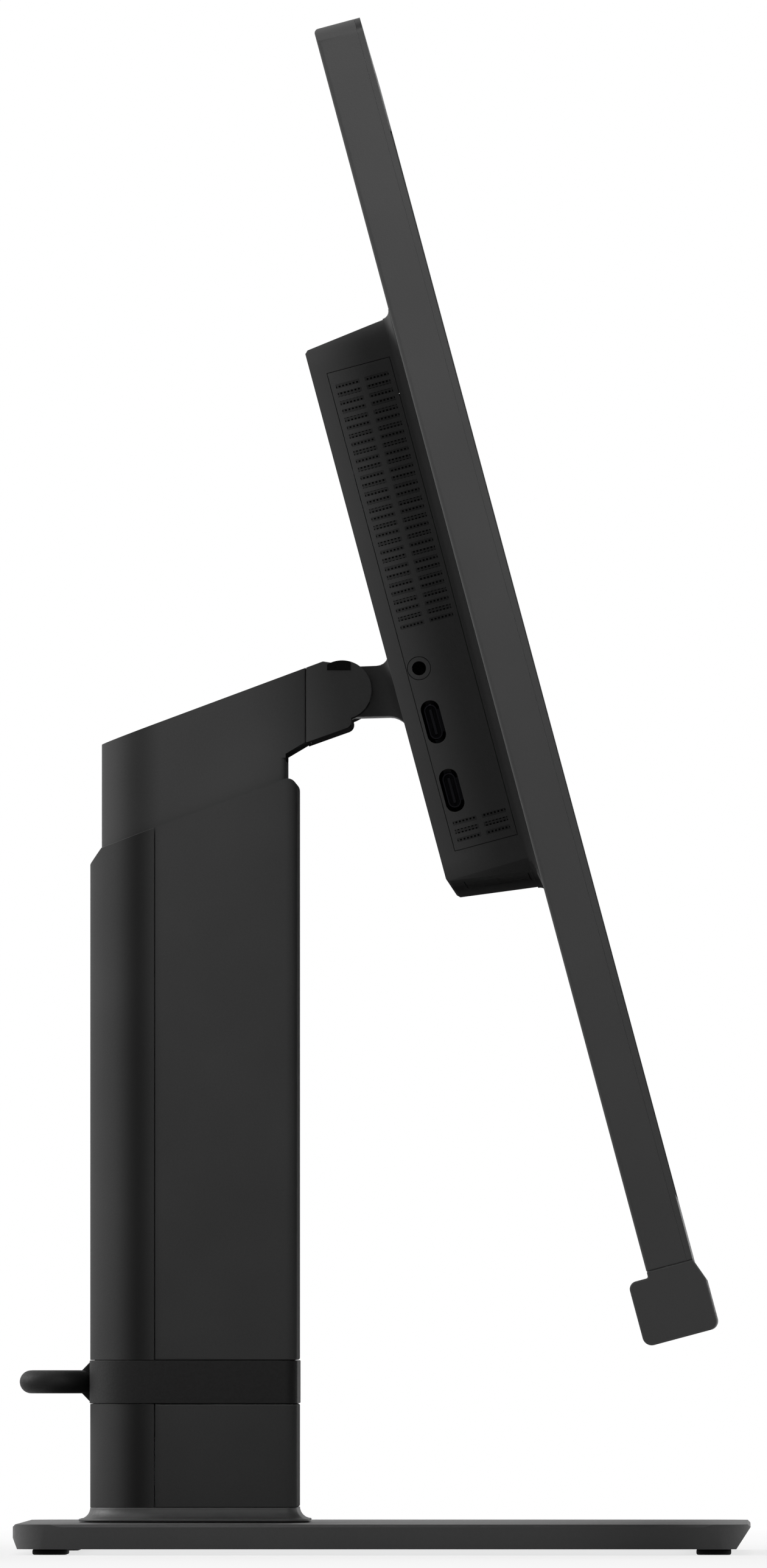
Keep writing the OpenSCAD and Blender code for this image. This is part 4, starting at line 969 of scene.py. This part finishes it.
class PC_OT_stage(bpy.types.Operator):
    """Camera at the photograph's place, pale floor, white world and soft lamps"""

    bl_idname = "pc.stage"
    bl_label = "Studio"

    # Lamps: name, place, aim, size, spread in degrees and power
    lamps = [
        ("key_softbox", (-1.7, -0.1, 1.0), (-0.1, 0.02, 0.4), 0.3, 30.0, 0.48),
        ("rear_softbox", (0.6, 1.7, 0.9), (0.0, 0.0, 0.2), 1.0, 120.0, 10.5),
        ("top_softbox", (0.0, 0.0, 2.4), (0.0, 0.0, 0.0), 2.0, 180.0, 14.0),
        ("front_softbox", (0.6, -2.4, 1.2), (0.0, 0.0, 0.2), 1.6, 180.0, 16.0),
    ]

    def execute(self, context):
        scene = context.scene
        scene.view_settings.view_transform = "Standard"
        self.camera(scene)
        self.world(scene)
        self.floor(scene)
        for name, place, aim, size, spread, power in self.lamps:
            lamp = bpy.data.lights.new(name, "AREA")
            lamp.shape = "DISK"
            lamp.size = size
            lamp.spread = math.radians(spread)
            lamp.energy = power
            holder = bpy.data.objects.new(name, lamp)
            holder.location = place
            to_aim = Vector(aim) - Vector(place)
            holder.rotation_euler = to_aim.to_track_quat("-Z", "Y").to_euler()
            scene.collection.objects.link(holder)
        return {"FINISHED"}

    @staticmethod
    def camera(scene):
        """A long lens on the user's left that sees the display and the base edge-on."""
        sensor = 36.0
        lens = 840.0
        px_per_mm = 6.309
        eye_y = -92 * MM
        eye_z = 60 * MM
        # Pixel at which lines along X meet
        meet_x = 1214.0
        meet_y = 2171.6
        focal_px = PHOTO_H / sensor * lens
        data = bpy.data.cameras.new("camera")
        data.sensor_width = sensor
        data.lens = lens
        data.clip_end = 100.0
        eye = bpy.data.objects.new("camera", data)
        eye.location = (-focal_px / px_per_mm * MM, eye_y, eye_z)
        pitch = math.atan((meet_y - PHOTO_H / 2) / focal_px)
        yaw = math.atan((meet_x - PHOTO_W / 2) / focal_px)
        eye.rotation_euler = (math.radians(90) + pitch, 0.0, math.radians(-90) + yaw)
        scene.collection.objects.link(eye)
        scene.camera = eye

    @staticmethod
    def white_rays(tree):
        """1 for rays that show the background: from the camera, off gloss and through glass."""
        path = add(tree, "ShaderNodeLightPath")
        seen = add(tree, "ShaderNodeMath", {"operation": "MAXIMUM"},
                   {0: path.outputs["Is Camera Ray"], 1: path.outputs["Is Glossy Ray"]})
        return add(tree, "ShaderNodeMath", {"operation": "MAXIMUM"},
                   {0: seen.outputs[0], 1: path.outputs["Is Transmission Ray"]}).outputs[0]

    def world(self, scene):
        """White where it is seen, a plain grey where it lights."""
        world = bpy.data.worlds.new("studio")
        scene.world = world
        world.use_nodes = True
        tree = world.node_tree
        tree.nodes.clear()
        light = add(tree, "ShaderNodeBackground", {"Color": (1, 1, 1, 1), "Strength": 0.24})
        white = add(tree, "ShaderNodeBackground", {"Color": (1, 1, 1, 1), "Strength": 1.0})
        both = add(tree, "ShaderNodeMixShader", None,
                   {0: self.white_rays(tree), 1: light.outputs[0], 2: white.outputs[0]})
        add(tree, "ShaderNodeOutputWorld", None, {"Surface": both.outputs[0]})

    def floor(self, scene):
        """A pale disc that keeps the object's shadow and runs out into white."""
        bm = bmesh.new()
        bmesh.ops.create_circle(bm, cap_ends=True, segments=96, radius=6.0)
        mesh = bpy.data.meshes.new("floor")
        bm.to_mesh(mesh)
        bm.free()
        floor = bpy.data.objects.new("floor", mesh)
        just_below = 0.02 * MM
        floor.location.z = -just_below
        scene.collection.objects.link(floor)
        material = bpy.data.materials.new("pale_studio_floor")
        material.use_nodes = True
        tree = material.node_tree
        tree.nodes.clear()
        place = add(tree, "ShaderNodeTexCoord").outputs["Object"]
        away = add(tree, "ShaderNodeVectorMath", {"operation": "LENGTH"}, {0: place})
        run_out = add(tree, "ShaderNodeMapRange", {"From Min": 0.25, "From Max": 1.1, "To Min": 0.72,
                                                   "To Max": 1.0}, {"Value": away.outputs["Value"]})
        seen = self.white_rays(tree)
        white = add(tree, "ShaderNodeMath", {"operation": "MULTIPLY"},
                    {0: run_out.outputs["Result"], 1: seen})
        pale = add(tree, "ShaderNodeMix", {"data_type": "RGBA", 6: (0.5, 0.5, 0.5, 1),
                                           7: (0.9, 0.9, 0.9, 1)}, {0: seen})
        paint = add(tree, "ShaderNodeBsdfDiffuse", None, {"Color": pale.outputs[2]})
        glow = add(tree, "ShaderNodeEmission", {"Color": (1, 1, 1, 1), "Strength": 1.0})
        both = add(tree, "ShaderNodeMixShader", None,
                   {0: white.outputs[0], 1: paint.outputs[0], 2: glow.outputs[0]})
        clear = add(tree, "ShaderNodeBsdfTransparent")
        below = add(tree, "ShaderNodeNewGeometry").outputs["Backfacing"]
        one_way = add(tree, "ShaderNodeMixShader", None,
                      {0: below, 1: both.outputs[0], 2: clear.outputs[0]})
        add(tree, "ShaderNodeOutputMaterial", None, {"Surface": one_way.outputs[0]})
        mesh.materials.append(material)


class PC_PT_panel(bpy.types.Panel):
    """Lists the sizes, the colours and the steps of the dressing"""

    bl_label = "All in one PC"
    bl_idname = "PC_PT_panel"
    bl_space_type = "VIEW_3D"
    bl_region_type = "UI"
    bl_category = "PC"

    def draw(self, context):
        for group in (context.scene.pc_sizes, context.scene.pc_colours):
            for name in group.__annotations__:
                self.layout.prop(group, name)
        for step in STEPS:
            self.layout.operator(step.bl_idname)


STEPS = [
    PC_OT_stage,
    PC_OT_finishes,
    PC_OT_base,
    PC_OT_column,
    PC_OT_cable_clip,
    PC_OT_carriage,
    PC_OT_hinge_pads,
    PC_OT_housing,
    PC_OT_speaker_bar,
    PC_OT_rear_box,
    PC_OT_dust_mesh,
    PC_OT_sockets,
    PC_OT_contacts,
    PC_OT_screws,
    PC_OT_camera_eye,
    PC_OT_inside,
]
CLASSES = [PcColours, PcSizes, *STEPS, PC_PT_panel]


def register():
    """Registers the classes and hangs the sizes and colours on the scene."""
    for cls in CLASSES:
        bpy.utils.register_class(cls)
    bpy.types.Scene.pc_colours = bpy.props.PointerProperty(type=PcColours)
    bpy.types.Scene.pc_sizes = bpy.props.PointerProperty(type=PcSizes)


def unregister():
    """Takes the sizes, the colours and the classes away again."""
    del bpy.types.Scene.pc_sizes
    del bpy.types.Scene.pc_colours
    for cls in reversed(CLASSES):
        bpy.utils.unregister_class(cls)


def main():
    """Runs every step in order."""
    register()
    for step in STEPS:
        group, action = step.bl_idname.split(".")
        getattr(getattr(bpy.ops, group), action)()


if __name__ == "__main__":
    main()
